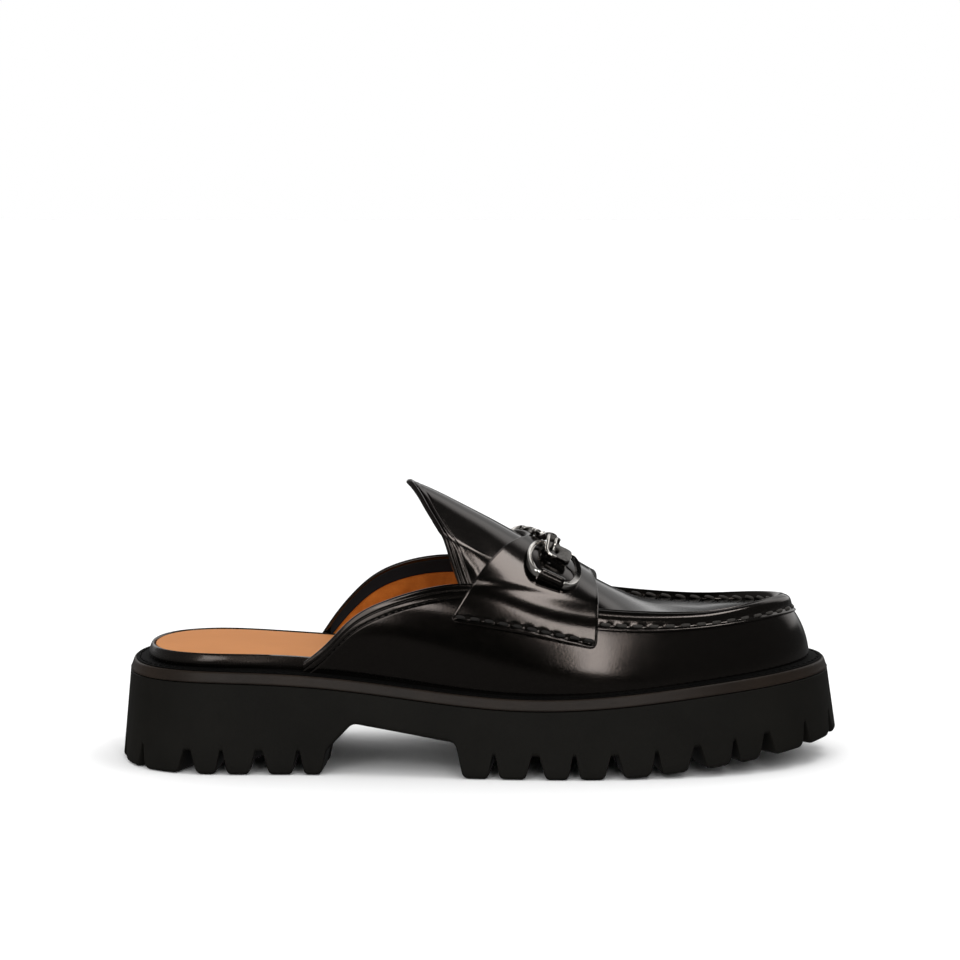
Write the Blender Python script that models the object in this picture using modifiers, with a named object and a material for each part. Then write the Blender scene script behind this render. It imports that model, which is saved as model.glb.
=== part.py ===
"""A right-foot backless loafer with a lugged sole, a saddle strap and a snaffle ornament.

Sizes are millimetres until a mesh is made. Toe along +X, lateral side toward -Y, sole on z = 0.
Every piece is a function of the rim station s: 0 is the middle of the heel, 1 the tip of the toe,
0 to 1 runs along the lateral side and 1 to 2 back along the medial side.
"""

import math

import bmesh
import bpy
import numpy as np
from mathutils import Matrix, Vector

MM = 0.001
GAP = 0.3

# Sole stack
WELT_THICK = 4.0
WELT_BEVEL = 1.4
GROOVE_DEPTH = 8.7
EDGE_ROUND = 1.4
LUG_LENGTH = 14.0
CHANNEL = 3.0
CHANNEL_DRAFT = 1.0
SPRING_START = 46.0
SPRING_END = 131.0
SPRING_RISE = 9.4
SPRING_POWER = 1.42

# Footbed and insole
FOOTBED_THICK = 4.1
INSOLE_THICK = 0.8
FOOTBED_INSET_HEEL = 5.7
FOOTBED_INSET_FRONT = 8.6
INSOLE_MARGIN = 2.6

# Upper
WELT_LEDGE = 5.5
WALL = 1.9
SEAM_STEP = 1.3
LIP_WIDTH = 2.4
LIP_DROP = 2.4
THROAT = 25.0
SEAM_START = 44.8
SEAM_FULL = 48.0
SPINE_START = 50.0
SPINE_SQUEEZE = 0.00552

# Tongue and strap
TONGUE_THICK = 2.0
TONGUE_TIP = -28.0
TONGUE_BASE = -9.5
TONGUE_TAPER = 1.25
STRAP_THICK = 1.5
STRAP_GAP = 0.4

# Snaffle
RING_HALF = 10.2
RING_BAR = 5.3
RING_ARC = 5.2
RING_WIRE = 1.2
RING_LIFT = 1.7
RING_STATION = (26.0, 18.0)
RING_REACH = (0.42, 0.30)
SLEEVE_OUTER = 2.5
SLEEVE_INNER = 1.5
SLEEVE_LENGTH = 5.0
EYE_MAJOR = 2.6
EYE_MINOR = 0.9
EYE_RAISE = 2.5
KEEPER = (8.6, 3.6, 4.2)

# Rim of the welt: station x, lateral y, medial y
RIM = [
    (-134.0, 0.0, 0.0),
    (-126.0, -25.5, 25.0),
    (-104.0, -37.0, 36.5),
    (-62.0, -38.6, 37.2),
    (-15.0, -44.5, 41.5),
    (32.0, -48.4, 47.5),
    (74.0, -44.6, 46.9),
    (108.0, -33.0, 37.9),
    (127.0, -16.5, 22.0),
    (133.6, 2.0, 2.0),
]

# Lean of the sole's side, rim to tread: station x, outward run
SIDE_FLARE = [(-134.0, 4.6), (-70.0, 3.7), (60.0, 3.7), (133.6, 5.0)]

# Welt top: x, z
WELT_TOP = [
    (-138.0, 38.7),
    (-90.0, 38.3),
    (-56.5, 36.4),
    (-17.6, 32.3),
    (11.6, 29.9),
    (45.0, 30.5),
    (87.4, 34.5),
    (137.0, 38.4),
]

# Arch of the sole between heel and forefoot: x, z
ARCH = [(-59.6, 0.0), (-58.0, 8.7), (-48.0, 19.5), (-28.0, 16.3), (-9.1, 13.2), (-6.1, 0.0)]

# Grooves between the lugs: station x, width at the bottom, width at the top
NARROW = (4.6, 1.0)
WIDE = (7.6, 2.6)
GROOVES = [
    (-132.9, WIDE),
    (-125.8, NARROW),
    (-109.8, WIDE),
    (-97.4, NARROW),
    (-83.4, WIDE),
    (-68.5, NARROW),
    (5.4, NARROW),
    (20.9, WIDE),
    (35.3, NARROW),
    (50.2, WIDE),
    (65.8, NARROW),
    (80.9, WIDE),
    (94.9, NARROW),
    (107.0, WIDE),
    (121.6, NARROW),
    (131.2, NARROW),
]

# Top edge of the wall, collar first and then the lip of the seam: station x, z, inset from the feather
LATERAL_EDGE = [
    (-67.0, 41.0, 0.0),
    (-59.5, 47.4, 0.0),
    (-50.4, 57.0, 0.4),
    (-37.0, 64.8, 2.2),
    (-24.0, 68.9, 5.0),
    (-10.6, 70.9, 8.0),
    (5.0, 69.8, 10.6),
    (25.0, 65.2, 12.4),
    (45.5, 62.1, 12.8),
    (66.0, 60.7, 12.3),
    (87.0, 60.3, 10.6),
    (112.0, 61.7, 10.4),
]
TOE_EDGE = (133.6, 61.9, 11.6)
MEDIAL_EDGE = [
    (-63.4, 41.0, 0.0),
    (-58.4, 48.6, 0.0),
    (-51.0, 57.8, 0.4),
    (-45.0, 63.6, 1.2),
    (-31.0, 70.9, 4.0),
    (-13.0, 73.8, 8.0),
    (5.0, 71.5, 11.0),
    (25.0, 66.0, 13.4),
    (45.5, 62.2, 14.8),
    (66.0, 60.2, 15.0),
    (87.0, 59.2, 13.6),
    (112.0, 59.7, 11.2),
]

# Roundness of the wall: station x, inset of the pull point, its height as a share of the wall
WALL_PULL = [
    (-67.0, -0.5, 0.50),
    (-45.0, -2.5, 0.60),
    (-10.0, -2.0, 0.66),
    (25.0, -0.5, 0.70),
    (45.0, 0.5, 0.70),
    (87.0, 1.0, 0.68),
    (133.6, 1.2, 0.62),
]

# Height of the stitched band under the lip: station x, drop
SEAM_BAND = [(20.0, 8.2), (45.5, 7.9), (66.0, 7.5), (87.0, 6.4), (112.0, 5.5), (133.6, 4.6)]

# Crest of tongue, instep and apron: x, z
CREST = [
    (-28.0, 107.6),
    (-19.3, 103.9),
    (-3.9, 96.1),
    (3.9, 92.0),
    (13.6, 86.6),
    (28.0, 78.4),
    (38.9, 71.9),
    (46.7, 67.4),
    (56.4, 62.6),
    (62.2, 60.2),
    (74.0, 57.9),
    (86.0, 57.4),
    (98.0, 57.7),
]

# Lower edge of the strap: station x, z
STRAP_LOW = [(-14.0, 58.0), (7.5, 54.6), (26.3, 51.0), (46.0, 47.2)]


def spline(knots, values):
    """Natural cubic through the knots, held level past both ends."""
    knots = np.asarray(knots, float)
    values = np.asarray(values, float)
    step = np.diff(knots)
    count = len(knots)
    system = np.eye(count)
    right = np.zeros(count)
    for i in range(1, count - 1):
        system[i, i - 1 : i + 2] = step[i - 1], 2 * (step[i - 1] + step[i]), step[i]
        right[i] = 6 * ((values[i + 1] - values[i]) / step[i] - (values[i] - values[i - 1]) / step[i - 1])
    bend = np.linalg.solve(system, right)

    def at(x):
        x = np.clip(np.asarray(x, float), knots[0], knots[-1])
        i = np.clip(np.searchsorted(knots, x) - 1, 0, count - 2)
        a = (knots[i + 1] - x) / step[i]
        b = 1 - a
        cubic = (a**3 - a) * bend[i] + (b**3 - b) * bend[i + 1]
        return a * values[i] + b * values[i + 1] + cubic * step[i] ** 2 / 6

    return at


def table(rows, column):
    """The spline of one column of a table against its first column."""
    return spline([row[0] for row in rows], [row[column] for row in rows])


def looped(knots, values, period):
    """A spline that repeats: the knots are laid three times over and the middle turn is used."""
    turns = np.concatenate([np.asarray(knots) + period * k for k in (-1, 0, 1)])
    return spline(turns, np.tile(values, 3))


def ramp(x, low, high):
    """Smooth rise from 0 at low to 1 at high."""
    t = np.clip((np.asarray(x, float) - low) / (high - low), 0, 1)
    return t * t * (3 - 2 * t)


RIM_BACK = RIM[0][0]
RIM_FRONT = RIM[-1][0]
RIM_MID = (RIM_BACK + RIM_FRONT) / 2
RIM_REACH = (RIM_FRONT - RIM_BACK) / 2


def station(x):
    """Lateral station of a rim x. The medial one is 2 less it."""
    return np.arccos(np.clip((RIM_MID - np.asarray(x, float)) / RIM_REACH, -1, 1)) / math.pi


def station_x(s):
    return RIM_MID - RIM_REACH * np.cos(math.pi * np.asarray(s, float))


RIM_STATIONS = [float(station(row[0])) for row in RIM]
rim_y = looped(
    RIM_STATIONS + [2 - s for s in RIM_STATIONS[-2:0:-1]],
    [row[1] for row in RIM] + [row[2] for row in RIM[-2:0:-1]],
    2.0,
)
welt_top = table(WELT_TOP, 1)
side_flare = table(SIDE_FLARE, 1)
crest = table(CREST, 1)
strap_low = table(STRAP_LOW, 1)
seam_band = table(SEAM_BAND, 1)
pull_inset = table(WALL_PULL, 1)
pull_height = table(WALL_PULL, 2)

EDGE_ROWS = LATERAL_EDGE + [TOE_EDGE] + MEDIAL_EDGE[::-1]
EDGE_STATIONS = [float(station(row[0])) for row in LATERAL_EDGE + [TOE_EDGE]]
EDGE_STATIONS += [2 - float(station(row[0])) for row in MEDIAL_EDGE[::-1]]
edge_z = spline(EDGE_STATIONS, [row[1] for row in EDGE_ROWS])
edge_inset = spline(EDGE_STATIONS, [row[2] for row in EDGE_ROWS])


def spring(x):
    """Height of the tread line: flat, then lifting toward the toe."""
    share = np.clip((np.asarray(x, float) - SPRING_START) / (SPRING_END - SPRING_START), 0, None)
    return SPRING_RISE * share**SPRING_POWER


def arch(x):
    return np.interp(x, [row[0] for row in ARCH], [row[1] for row in ARCH])


def outline(s, offset):
    """Points of the rim moved outward by the offset, as x and y."""
    s = np.asarray(s, float)
    x = station_x(s)
    y = rim_y(s % 2)
    h = 1e-4
    dx = station_x(s + h) - station_x(s - h)
    dy = rim_y((s + h) % 2) - rim_y((s - h) % 2)
    size = np.hypot(dx, dy)
    return x + offset * dy / size, y - offset * dx / size


def points(x, y, z):
    """Stacks three arrays into a list of points."""
    return np.stack(np.broadcast_arrays(x, y, z), axis=-1).astype(float)


def spine_of(s):
    """Middle line that the flat faces close on. It stops short of heel and toe."""
    away = station_x(s) - RIM_MID
    held = np.sign(away) * np.interp(np.abs(away), [0, 78, RIM_REACH], [0, 78, 100])
    x = RIM_MID + held
    both = station(x)
    return x, (rim_y(both) + rim_y(2 - both)) / 2


def both_sides(half):
    """Stations of the lateral half, then the same ones back along the medial half."""
    return np.concatenate([half, 2 - half[-2:0:-1]])


def even_stations(count):
    """Stations spaced evenly along the lateral rim."""
    fine = np.linspace(0, 1, 2001)
    x, y = outline(fine, 0.0)
    run = np.concatenate([[0], np.cumsum(np.hypot(np.diff(x), np.diff(y)))])
    return np.interp(np.linspace(0, run[-1], count), run, fine)


def material(name, colour, roughness, metallic=0.0):
    made = bpy.data.materials.new(name)
    made.use_nodes = True
    shader = made.node_tree.nodes["Principled BSDF"]
    shader.inputs["Base Color"].default_value = (*colour, 1)
    shader.inputs["Roughness"].default_value = roughness
    shader.inputs["Metallic"].default_value = metallic
    return made


def place(name, mesh, finish):
    """Puts a mesh or a curve into the shoe under its node name."""
    mesh.materials.append(finish)
    made = bpy.data.objects.new(name, mesh)
    shoe.objects.link(made)
    return made


def grid_mesh(name, rows, faces):
    """Mesh of a row-by-column array of points with equal points joined."""
    built = bmesh.new()
    spots = [built.verts.new(Vector(p) * MM) for p in rows.reshape(-1, 3)]
    for face in faces:
        built.faces.new([spots[i] for i in face])
    bmesh.ops.remove_doubles(built, verts=built.verts, dist=2e-5)
    mesh = bpy.data.meshes.new(name)
    built.to_mesh(mesh)
    built.free()
    return mesh


def loft(name, rows, finish):
    """A closed body from rings of points, its first and last rows lying on the middle line."""
    rows = np.stack(rows)
    height, count = rows.shape[:2]
    faces = []
    for j in range(height - 1):
        for i in range(count):
            k = (i + 1) % count
            faces.append((j * count + i, (j + 1) * count + i, (j + 1) * count + k, j * count + k))
    mesh = grid_mesh(name, rows, faces)
    fixed = bmesh.new()
    fixed.from_mesh(mesh)
    bmesh.ops.recalc_face_normals(fixed, faces=fixed.faces)
    fixed.to_mesh(mesh)
    fixed.free()
    return place(name, mesh, finish)


def sheet(name, rows, finish, thickness, side, lift=0.0, keep=None):
    """An open grid given thickness: side -1 grows inward, +1 outward, after a lift off the surface."""
    height, count = rows.shape[:2]
    faces = []
    for j in range(height - 1):
        for i in range(count - 1):
            if keep is None or keep(j, i):
                faces.append((j * count + i, j * count + i + 1, (j + 1) * count + i + 1, (j + 1) * count + i))
    made = place(name, grid_mesh(name, rows, faces), finish)
    if lift:
        raised = made.modifiers.new("lift", "DISPLACE")
        raised.strength = lift * MM
        raised.mid_level = 0.0
    shell = made.modifiers.new("thickness", "SOLIDIFY")
    shell.thickness = thickness * MM
    shell.offset = side
    shell.use_even_offset = True
    shell.use_quality_normals = True
    return made


def outsole():
    """Lug unit: side wall flaring to the tread, lugs and blocks split by draughted grooves, arch tunnel."""
    speed_step = 1e-4
    half = [(0.0, 0), (1.0, 1)]
    for x, (bottom, top) in GROOVES + [(RIM_FRONT, NARROW)]:
        s = float(station(x))
        ahead = np.array(outline(s + speed_step, side_flare(x)))
        behind = np.array(outline(s - speed_step, side_flare(x)))
        speed = np.linalg.norm(ahead - behind) / (2 * speed_step)
        sides = ((-bottom, 0), (-top, 1), (top, 1), (bottom, 0))
        half += [(s + width / 2 / speed, kind) for width, kind in sides if s + width / 2 / speed < 1]
    half += [(float(station(x)), 2 if z > 0 else 0) for x, z in ARCH]
    half.sort()
    ends = [(a, b) for a, b in zip(half, half[1:]) if a[1] == b[1] == 0 and b[0] - a[0] > 0.02]
    half += [((a[0] + b[0]) / 2, 0) for a, b in ends if abs(station_x(a[0])) > 85]
    half.sort()
    s = both_sides(np.array([row[0] for row in half]))
    kinds = np.array([row[1] for row in half])
    kind = np.concatenate([kinds, kinds[-2:0:-1]])

    rim_x = station_x(s)

    def tread(x):
        lug = spring(x)
        return np.where(kind == 2, arch(rim_x), np.where(kind == 1, lug + GROOVE_DEPTH, lug))

    def channel(x):
        return np.where(kind == 2, arch(rim_x), spring(x) + GROOVE_DEPTH)

    def flare(z, x):
        top = welt_top(x) - WELT_THICK - GAP
        return WELT_BEVEL + (side_flare(x) - WELT_BEVEL) * (top - z) / (top - spring(x))

    top = welt_top(rim_x) - WELT_THICK - GAP
    low = tread(rim_x)
    spine_x, spine_y = spine_of(s)
    rows = [points(spine_x, spine_y, welt_top(spine_x) - WELT_THICK - GAP)]
    rows.append(points(*outline(s, WELT_BEVEL), top))
    middle = (top + spring(rim_x) + GROOVE_DEPTH) / 2 + np.where(kind == 2, 3.0, 0.0)
    rows.append(points(*outline(s, flare(middle, rim_x)), middle))
    rows.append(points(*outline(s, flare(low + EDGE_ROUND, rim_x)), low + EDGE_ROUND))
    for offset, level in (
        (flare(low, rim_x) - EDGE_ROUND, tread),
        (-LUG_LENGTH, tread),
        (-LUG_LENGTH - CHANNEL_DRAFT, channel),
        (-LUG_LENGTH - CHANNEL_DRAFT - CHANNEL, channel),
        (-LUG_LENGTH - 2 * CHANNEL_DRAFT - CHANNEL, tread),
    ):
        x, y = outline(s, offset)
        rows.append(points(x, y, level(x)))
    rows.append(points(spine_x, spine_y, tread(spine_x)))
    loft("outsole", rows, RUBBER)


def welt_midsole():
    """The layer between outsole and upper, bevelled in toward its top."""
    s = both_sides(even_stations(34))
    x = station_x(s)
    spine_x, spine_y = spine_of(s)
    rows = [
        points(spine_x, spine_y, welt_top(spine_x)),
        points(*outline(s, 0.0), welt_top(x)),
        points(*outline(s, WELT_BEVEL), welt_top(x) - WELT_THICK),
        points(spine_x, spine_y, welt_top(spine_x) - WELT_THICK),
    ]
    loft("welt_midsole", rows, EDGE_LEATHER)


def bed_inset(s):
    """Distance from rim to footbed: more where the wall of the upper stands outside it."""
    return FOOTBED_INSET_HEEL + (FOOTBED_INSET_FRONT - FOOTBED_INSET_HEEL) * ramp(station_x(s), -108.0, -67.5)


def footbed():
    """The wrapped board, its edge padded into a rim that stands round the sock."""
    s = both_sides(even_stations(34))
    spine_x, spine_y = spine_of(s)
    rows = [points(spine_x, spine_y, welt_top(spine_x) + GAP + FOOTBED_THICK)]
    rim = ((2.3, 1.0), (1.8, 1.42), (1.0, 1.46), (0.25, 1.15), (0.0, 0.55), (0.3, 0.0))
    for inset, height in rim:
        x, y = outline(s, -bed_inset(s) - inset)
        rows.append(points(x, y, welt_top(x) + GAP + height * FOOTBED_THICK))
    rows.append(points(spine_x, spine_y, welt_top(spine_x) + GAP))
    loft("footbed", rows, BLACK_LEATHER)


def insole():
    """The thin sock on the footbed."""
    s = both_sides(even_stations(34))
    spine_x, spine_y = spine_of(s)
    floor = 2 * GAP + FOOTBED_THICK
    rows = [points(spine_x, spine_y, welt_top(spine_x) + floor + INSOLE_THICK)]
    for height in (INSOLE_THICK, 0.0):
        x, y = outline(s, -bed_inset(s) - INSOLE_MARGIN)
        rows.append(points(x, y, welt_top(x) + floor + height))
    rows.append(points(spine_x, spine_y, welt_top(spine_x) + floor))
    loft("insole", rows, TAN_LEATHER)


def wall(s, v):
    """Outer face of the wall without its seam: v is 0 at the feather line and 1 at the top edge."""
    x = station_x(s)
    low = welt_top(x) + GAP
    rise = edge_z(s) - low
    inset = edge_inset(s)
    across = 2 * v * (1 - v) * pull_inset(x) + v * v * inset
    up = 2 * v * (1 - v) * pull_height(x) * rise + v * v * rise
    px, py = outline(s, -WELT_LEDGE - across)
    return points(px, py, low + up)


def height_on_wall(s, z):
    """The v at which the wall reaches a height."""
    x = station_x(s)
    low = welt_top(x) + GAP
    rise = edge_z(s) - low
    want = np.clip((z - low) / rise, 0, 1)
    pull = pull_height(x)
    a = 1 - 2 * pull
    b = 2 * pull
    flat = np.abs(a) < 1e-6
    return np.where(flat, want / b, (-b + np.sqrt(b * b + 4 * a * want)) / np.where(flat, 1, 2 * a))


def crest_x(s):
    """Where on the crest a station's line over the instep ends."""
    x = station_x(s)
    return x - SPINE_SQUEEZE * np.clip(x - SPINE_START, 0, None) ** 2


def over(s, edge, w):
    """From a side edge (w = 0) to the crest (w = 1): straight in plan, a parabola in height."""
    x = crest_x(s)
    top = crest(x)
    px = edge[..., 0] + (x - edge[..., 0]) * w
    py = edge[..., 1] * (1 - w)
    pz = edge[..., 2] + (top - edge[..., 2]) * (1 - (1 - w) ** 2)
    return points(px, py, pz)


def surface(s, b):
    """The smooth last surface: b from 0 to 1 is the wall, 1 to 2 the instep up to the crest."""
    s = np.asarray(s, float)
    b = np.asarray(b, float)
    side = wall(s, np.clip(b, 0, 1))
    roof = over(s, wall(s, np.ones_like(b)), np.clip(b - 1, 0, 1))
    return np.where((b > 1)[..., None], roof, side)


def outward(s, b):
    """Unit normal of the smooth surface, pointing away from the foot."""
    h = 1e-4
    along = surface(s + h, b) - surface(s - h, b)
    up = surface(s, np.minimum(b + h, 2)) - surface(s, b - h)
    normal = np.cross(along, up)
    return normal / np.linalg.norm(normal, axis=-1, keepdims=True)


def upper():
    """One shell: wall with both wings, raised band of the seam, lip, apron."""
    wing_a = np.linspace(float(station(LATERAL_EDGE[0][0])), float(station(THROAT)), 13)
    wing_b = 2 - np.linspace(float(station(THROAT)), float(station(MEDIAL_EDGE[0][0])), 13)
    reach = even_stations(2000)
    reach = reach[reach > station(SEAM_FULL)]
    forward = np.interp(np.linspace(0, 1, 16), np.linspace(0, 1, len(reach)), reach)
    front = np.concatenate([station([THROAT, (THROAT + SEAM_START) / 2, SEAM_START]), forward])
    s = np.concatenate([wing_a[:-1], front, 2 - front[-2::-1], wing_b[1:]])
    x = station_x(s)
    raised = ramp(x, SEAM_START, SEAM_FULL)
    seam = height_on_wall(s, edge_z(s) - seam_band(x))
    out_x, out_y = outline(s, 1.0)
    in_x, in_y = outline(s, 0.0)
    out = points(out_x - in_x, out_y - in_y, 0.0) * (SEAM_STEP * raised)[:, None]
    rows = [wall(s, seam * share) for share in (0.0, 0.25, 0.5, 0.75, 1.0)]
    rows.append(wall(s, seam) + out)
    rows.append(wall(s, (seam + 1) / 2) + out)
    rows.append(wall(s, np.ones_like(s)) + 0.4 * out)
    lip = wall(s, np.ones_like(s))
    inner = outline(s, -WELT_LEDGE - edge_inset(s) - LIP_WIDTH * raised)
    base = points(*inner, lip[:, 2] - LIP_DROP * raised)
    rows.append(base)
    rows += [over(s, base, w) for w in (0.2, 0.4, 0.6, 0.8, 1.0)]
    start = len(wing_a) - 1
    stop = start + 2 * len(front) - 2

    def keep(j, i):
        return j < 7 or start <= i < stop

    sheet("upper", np.stack(rows), SHINY_LEATHER, WALL, -1, keep=keep)


def tongue():
    """The rear of the plug: a sheet of the last surface, rounded to its tip."""
    w = np.concatenate([np.linspace(0.035, 1, 8), np.linspace(1, 0.035, 8)[1:]])
    side = np.arange(len(w)) >= 8
    back = TONGUE_TIP + (TONGUE_BASE - TONGUE_TIP) * (1 - w) ** TONGUE_TAPER
    rows = []
    for share in np.linspace(0, 1, 8):
        s = station(back + (THROAT - 2 * GAP - back) * share)
        rows.append(surface(np.where(side, 2 - s, s), 1 + w))
    sheet("tongue", np.stack(rows, axis=1), SHINY_LEATHER, TONGUE_THICK, -1)


def strap_spot(side, climb, share):
    """Station and height on the last surface for a place on the strap.

    climb runs 0 to 1 up the wall and 1 to 2 over the instep, share from the rear edge to the front one.
    """
    lift = np.clip(climb - 1, 0, 1)
    rise = np.clip(climb, 0, 1)
    rear = -12.5 + 8.0 * rise + 22.5 * (1 - (1 - lift) ** 1.5)
    fore = 43.0 + 1.5 * rise - 4.0 * lift**1.5
    s = station(rear + (fore - rear) * share)
    s = np.where(side > 0, 2 - s, s)
    low = height_on_wall(s, strap_low(station_x(s)))
    return s, np.where(climb > 1, climb, low + (1 - low) * rise)


def saddle_strap():
    """The band over the instep, a little off the last surface."""
    climb = np.concatenate([np.linspace(0, 1, 4), 1 + np.linspace(0, 1, 9)[1:]])
    climb = np.concatenate([climb, climb[-2::-1]])
    side = np.where(np.arange(len(climb)) < 12, -1, 1)
    rows = [surface(*strap_spot(side, climb, np.full(len(climb), share))) for share in np.linspace(0, 1, 10)]
    sheet("saddle_strap", np.stack(rows, axis=1), SHINY_LEATHER, STRAP_THICK, 1, lift=STRAP_GAP)


def ring_frame(side):
    """Place of a ring on the strap: its middle, the way along the shoe, down the side and off the strap."""
    which = 0 if side < 0 else 1
    s = float(station(RING_STATION[which]))
    s = s if side < 0 else 2 - s
    b = 1 + RING_REACH[which]
    normal = Vector(outward(s, np.array(b)))
    middle = Vector(surface(s, np.array(b))) + normal * (STRAP_GAP + STRAP_THICK + RING_LIFT)
    along = Vector(surface(s + side * 1e-3, np.array(b)) - surface(s - side * 1e-3, np.array(b))) * -side
    along = (along - normal * along.dot(normal)).normalized()
    down = along.cross(normal) * -side
    if down.z > 0:
        down = -down
    return middle, along, down.normalized(), normal


def bit_ring(name, side):
    """A ring lying on the strap: two straight bars joined by an arc at each end."""
    middle, along, down, normal = ring_frame(side)
    curve = bpy.data.curves.new(name, "CURVE")
    curve.dimensions = "3D"
    curve.bevel_depth = RING_WIRE * MM
    curve.bevel_resolution = 1
    line = curve.splines.new("POLY")
    arc = np.linspace(-math.pi / 2 + 1e-6, math.pi / 2 - 1e-6, 13)
    turn = np.concatenate([arc, arc + math.pi])
    line.points.add(len(turn) - 1)
    for point, angle in zip(line.points, turn):
        across = math.copysign(RING_BAR, math.cos(angle)) + RING_ARC * math.cos(angle)
        spot = middle + along * across + down * (RING_HALF * math.sin(angle))
        point.co = (*(spot * MM), 1)
    line.use_cyclic_u = True
    place(name, curve, STEEL)


def solid(name, builder):
    """A scratch mesh made by a bmesh operator."""
    built = bmesh.new()
    builder(built)
    mesh = bpy.data.meshes.new(name)
    built.to_mesh(mesh)
    built.free()
    return mesh


def cutter(name, mesh, matrix):
    made = bpy.data.objects.new(name, mesh)
    made.matrix_world = matrix
    made.hide_render = True
    made.display_type = "WIRE"
    cutters.objects.link(made)
    return made


def join(target, other, how):
    made = target.modifiers.new(how.lower(), "BOOLEAN")
    made.operation = how
    made.solver = "EXACT"
    made.object = other


def frame_matrix(spot, x_axis, y_axis, z_axis):
    turn = Matrix((x_axis, y_axis, z_axis)).transposed().to_4x4()
    return Matrix.Translation(spot * MM) @ turn


def rod(radius, length, sides):
    """A capped cylinder along its own Z."""

    def builder(built):
        bmesh.ops.create_cone(
            built, cap_ends=True, segments=sides, radius1=radius * MM, radius2=radius * MM, depth=length * MM
        )

    return builder


def eye_mesh(name):
    """A torus in its own XY plane."""
    big = np.linspace(0, 2 * math.pi, 17)
    small = np.linspace(0, 2 * math.pi, 9)
    turn, tube = np.meshgrid(big, small, indexing="ij")
    reach = EYE_MAJOR + EYE_MINOR * np.cos(tube)
    rows = points(reach * np.cos(turn), reach * np.sin(turn), EYE_MINOR * np.sin(tube))
    cells = [(j * 9 + i, (j + 1) * 9 + i) for j in range(16) for i in range(8)]
    faces = [(low, high, high + 1, low + 1) for low, high in cells]
    return grid_mesh(name, rows, faces)


def barrel_spot(side):
    """Middle of a ring's inner bar, with the ring's axes."""
    middle, along, down, normal = ring_frame(side)
    return middle - down * RING_HALF, along, down, normal


def bit_link(name, side):
    """Half of the mouthpiece: a sleeve on the ring's inner bar and an eye hooked into the other half's."""
    spot, along, down, normal = barrel_spot(side)
    other = barrel_spot(-side)[0]
    inward = (other - spot).normalized()
    made = place(name, solid(name, rod(SLEEVE_OUTER, SLEEVE_LENGTH, 16)), STEEL)
    made.matrix_world = frame_matrix(spot, down, normal, down.cross(normal))
    drill = solid(name + "_bore", rod(SLEEVE_INNER, SLEEVE_LENGTH * 2, 16))
    bore = cutter(name + "_bore", drill, made.matrix_world)
    middle = (spot + other) / 2 + Vector((0, 0, EYE_RAISE))
    lean = Matrix.Rotation(math.pi / 4, 4, "X")
    cross = inward.cross(Vector((0, 0, 1))).normalized()
    rise = cross.cross(inward).normalized()
    eye_spot = middle - inward * (EYE_MAJOR / 2)
    eye_place = frame_matrix(eye_spot, inward, cross, inward.cross(cross)) @ lean
    eye = cutter(name + "_eye", eye_mesh(name + "_eye"), eye_place)
    gap = (eye_spot - inward * EYE_MAJOR - spot).length
    neck_mid = (eye_spot - inward * EYE_MAJOR + spot + inward * SLEEVE_OUTER) / 2
    neck = cutter(
        name + "_neck",
        solid(name + "_neck", rod(0.9, max(gap - SLEEVE_OUTER, 0) + 1.6, 8)),
        frame_matrix(neck_mid, cross, rise, cross.cross(rise)),
    )
    join(made, neck, "UNION")
    join(made, eye, "UNION")
    join(made, bore, "DIFFERENCE")


def keeper(name, side):
    """A leather block with a bore round the ring's outer bar."""
    middle, along, down, normal = ring_frame(side)
    spot = middle + down * RING_HALF
    length, width, height = KEEPER

    def builder(built):
        bmesh.ops.create_cube(built, size=1.0)
        bmesh.ops.scale(built, vec=Vector((length, width, height)) * MM, verts=built.verts)
        bmesh.ops.translate(built, vec=Vector((0, 0, RING_WIRE + 1.0 - height / 2)) * MM, verts=built.verts)

    made = place(name, solid(name, builder), BLACK_LEATHER)
    made.matrix_world = frame_matrix(spot, along, normal.cross(along), normal)
    rounded = made.modifiers.new("round", "BEVEL")
    rounded.width = 0.8 * MM
    rounded.segments = 2
    bore = cutter(
        name + "_bore",
        solid(name + "_bore", rod(RING_WIRE + GAP, length * 2, 12)),
        frame_matrix(spot, down, normal, down.cross(normal)),
    )
    join(made, bore, "DIFFERENCE")


for old in list(bpy.data.objects):
    bpy.data.objects.remove(old)

shoe = bpy.data.collections.new("mule")
cutters = bpy.data.collections.new("cutters")
bpy.context.scene.collection.children.link(shoe)
bpy.context.scene.collection.children.link(cutters)

RUBBER = material("rubber", (0.012, 0.012, 0.011), 0.75)
EDGE_LEATHER = material("edge leather", (0.03, 0.024, 0.02), 0.6)
BLACK_LEATHER = material("black leather", (0.012, 0.012, 0.012), 0.4)
SHINY_LEATHER = material("brushed leather", (0.01, 0.01, 0.01), 0.15)
TAN_LEATHER = material("tan leather", (0.58, 0.26, 0.1), 0.5)
STEEL = material("steel", (0.7, 0.68, 0.64), 0.2, 1.0)

outsole()
welt_midsole()
footbed()
insole()
upper()
tongue()
saddle_strap()
bit_ring("bit_ring_lateral", -1)
bit_ring("bit_ring_medial", 1)
bit_link("bit_link_lateral", -1)
bit_link("bit_link_medial", 1)
keeper("keeper_lateral", -1)
keeper("keeper_medial", 1)
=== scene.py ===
"""Looks of a right-foot backless loafer: lugged sole, saddle strap, hand-sewn apron and a snaffle.

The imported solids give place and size. Each visible piece is worked out again on a fine grid from the same
last. Lengths are millimetres until a mesh is made. The toe points along +X, the lateral side faces -Y and
the sole stands on z = 0.

A rim station s runs from 0 at the middle of the heel to 1 at the tip of the toe along the lateral side, and
from 1 to 2 back along the medial side.
"""

from __future__ import annotations

import logging
import math
from dataclasses import dataclass
from enum import Enum
from typing import Any
from typing import Sequence

import bmesh
import bpy
import numpy as np
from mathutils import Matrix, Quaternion
from mathutils import Vector
from numpy.typing import NDArray


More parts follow.
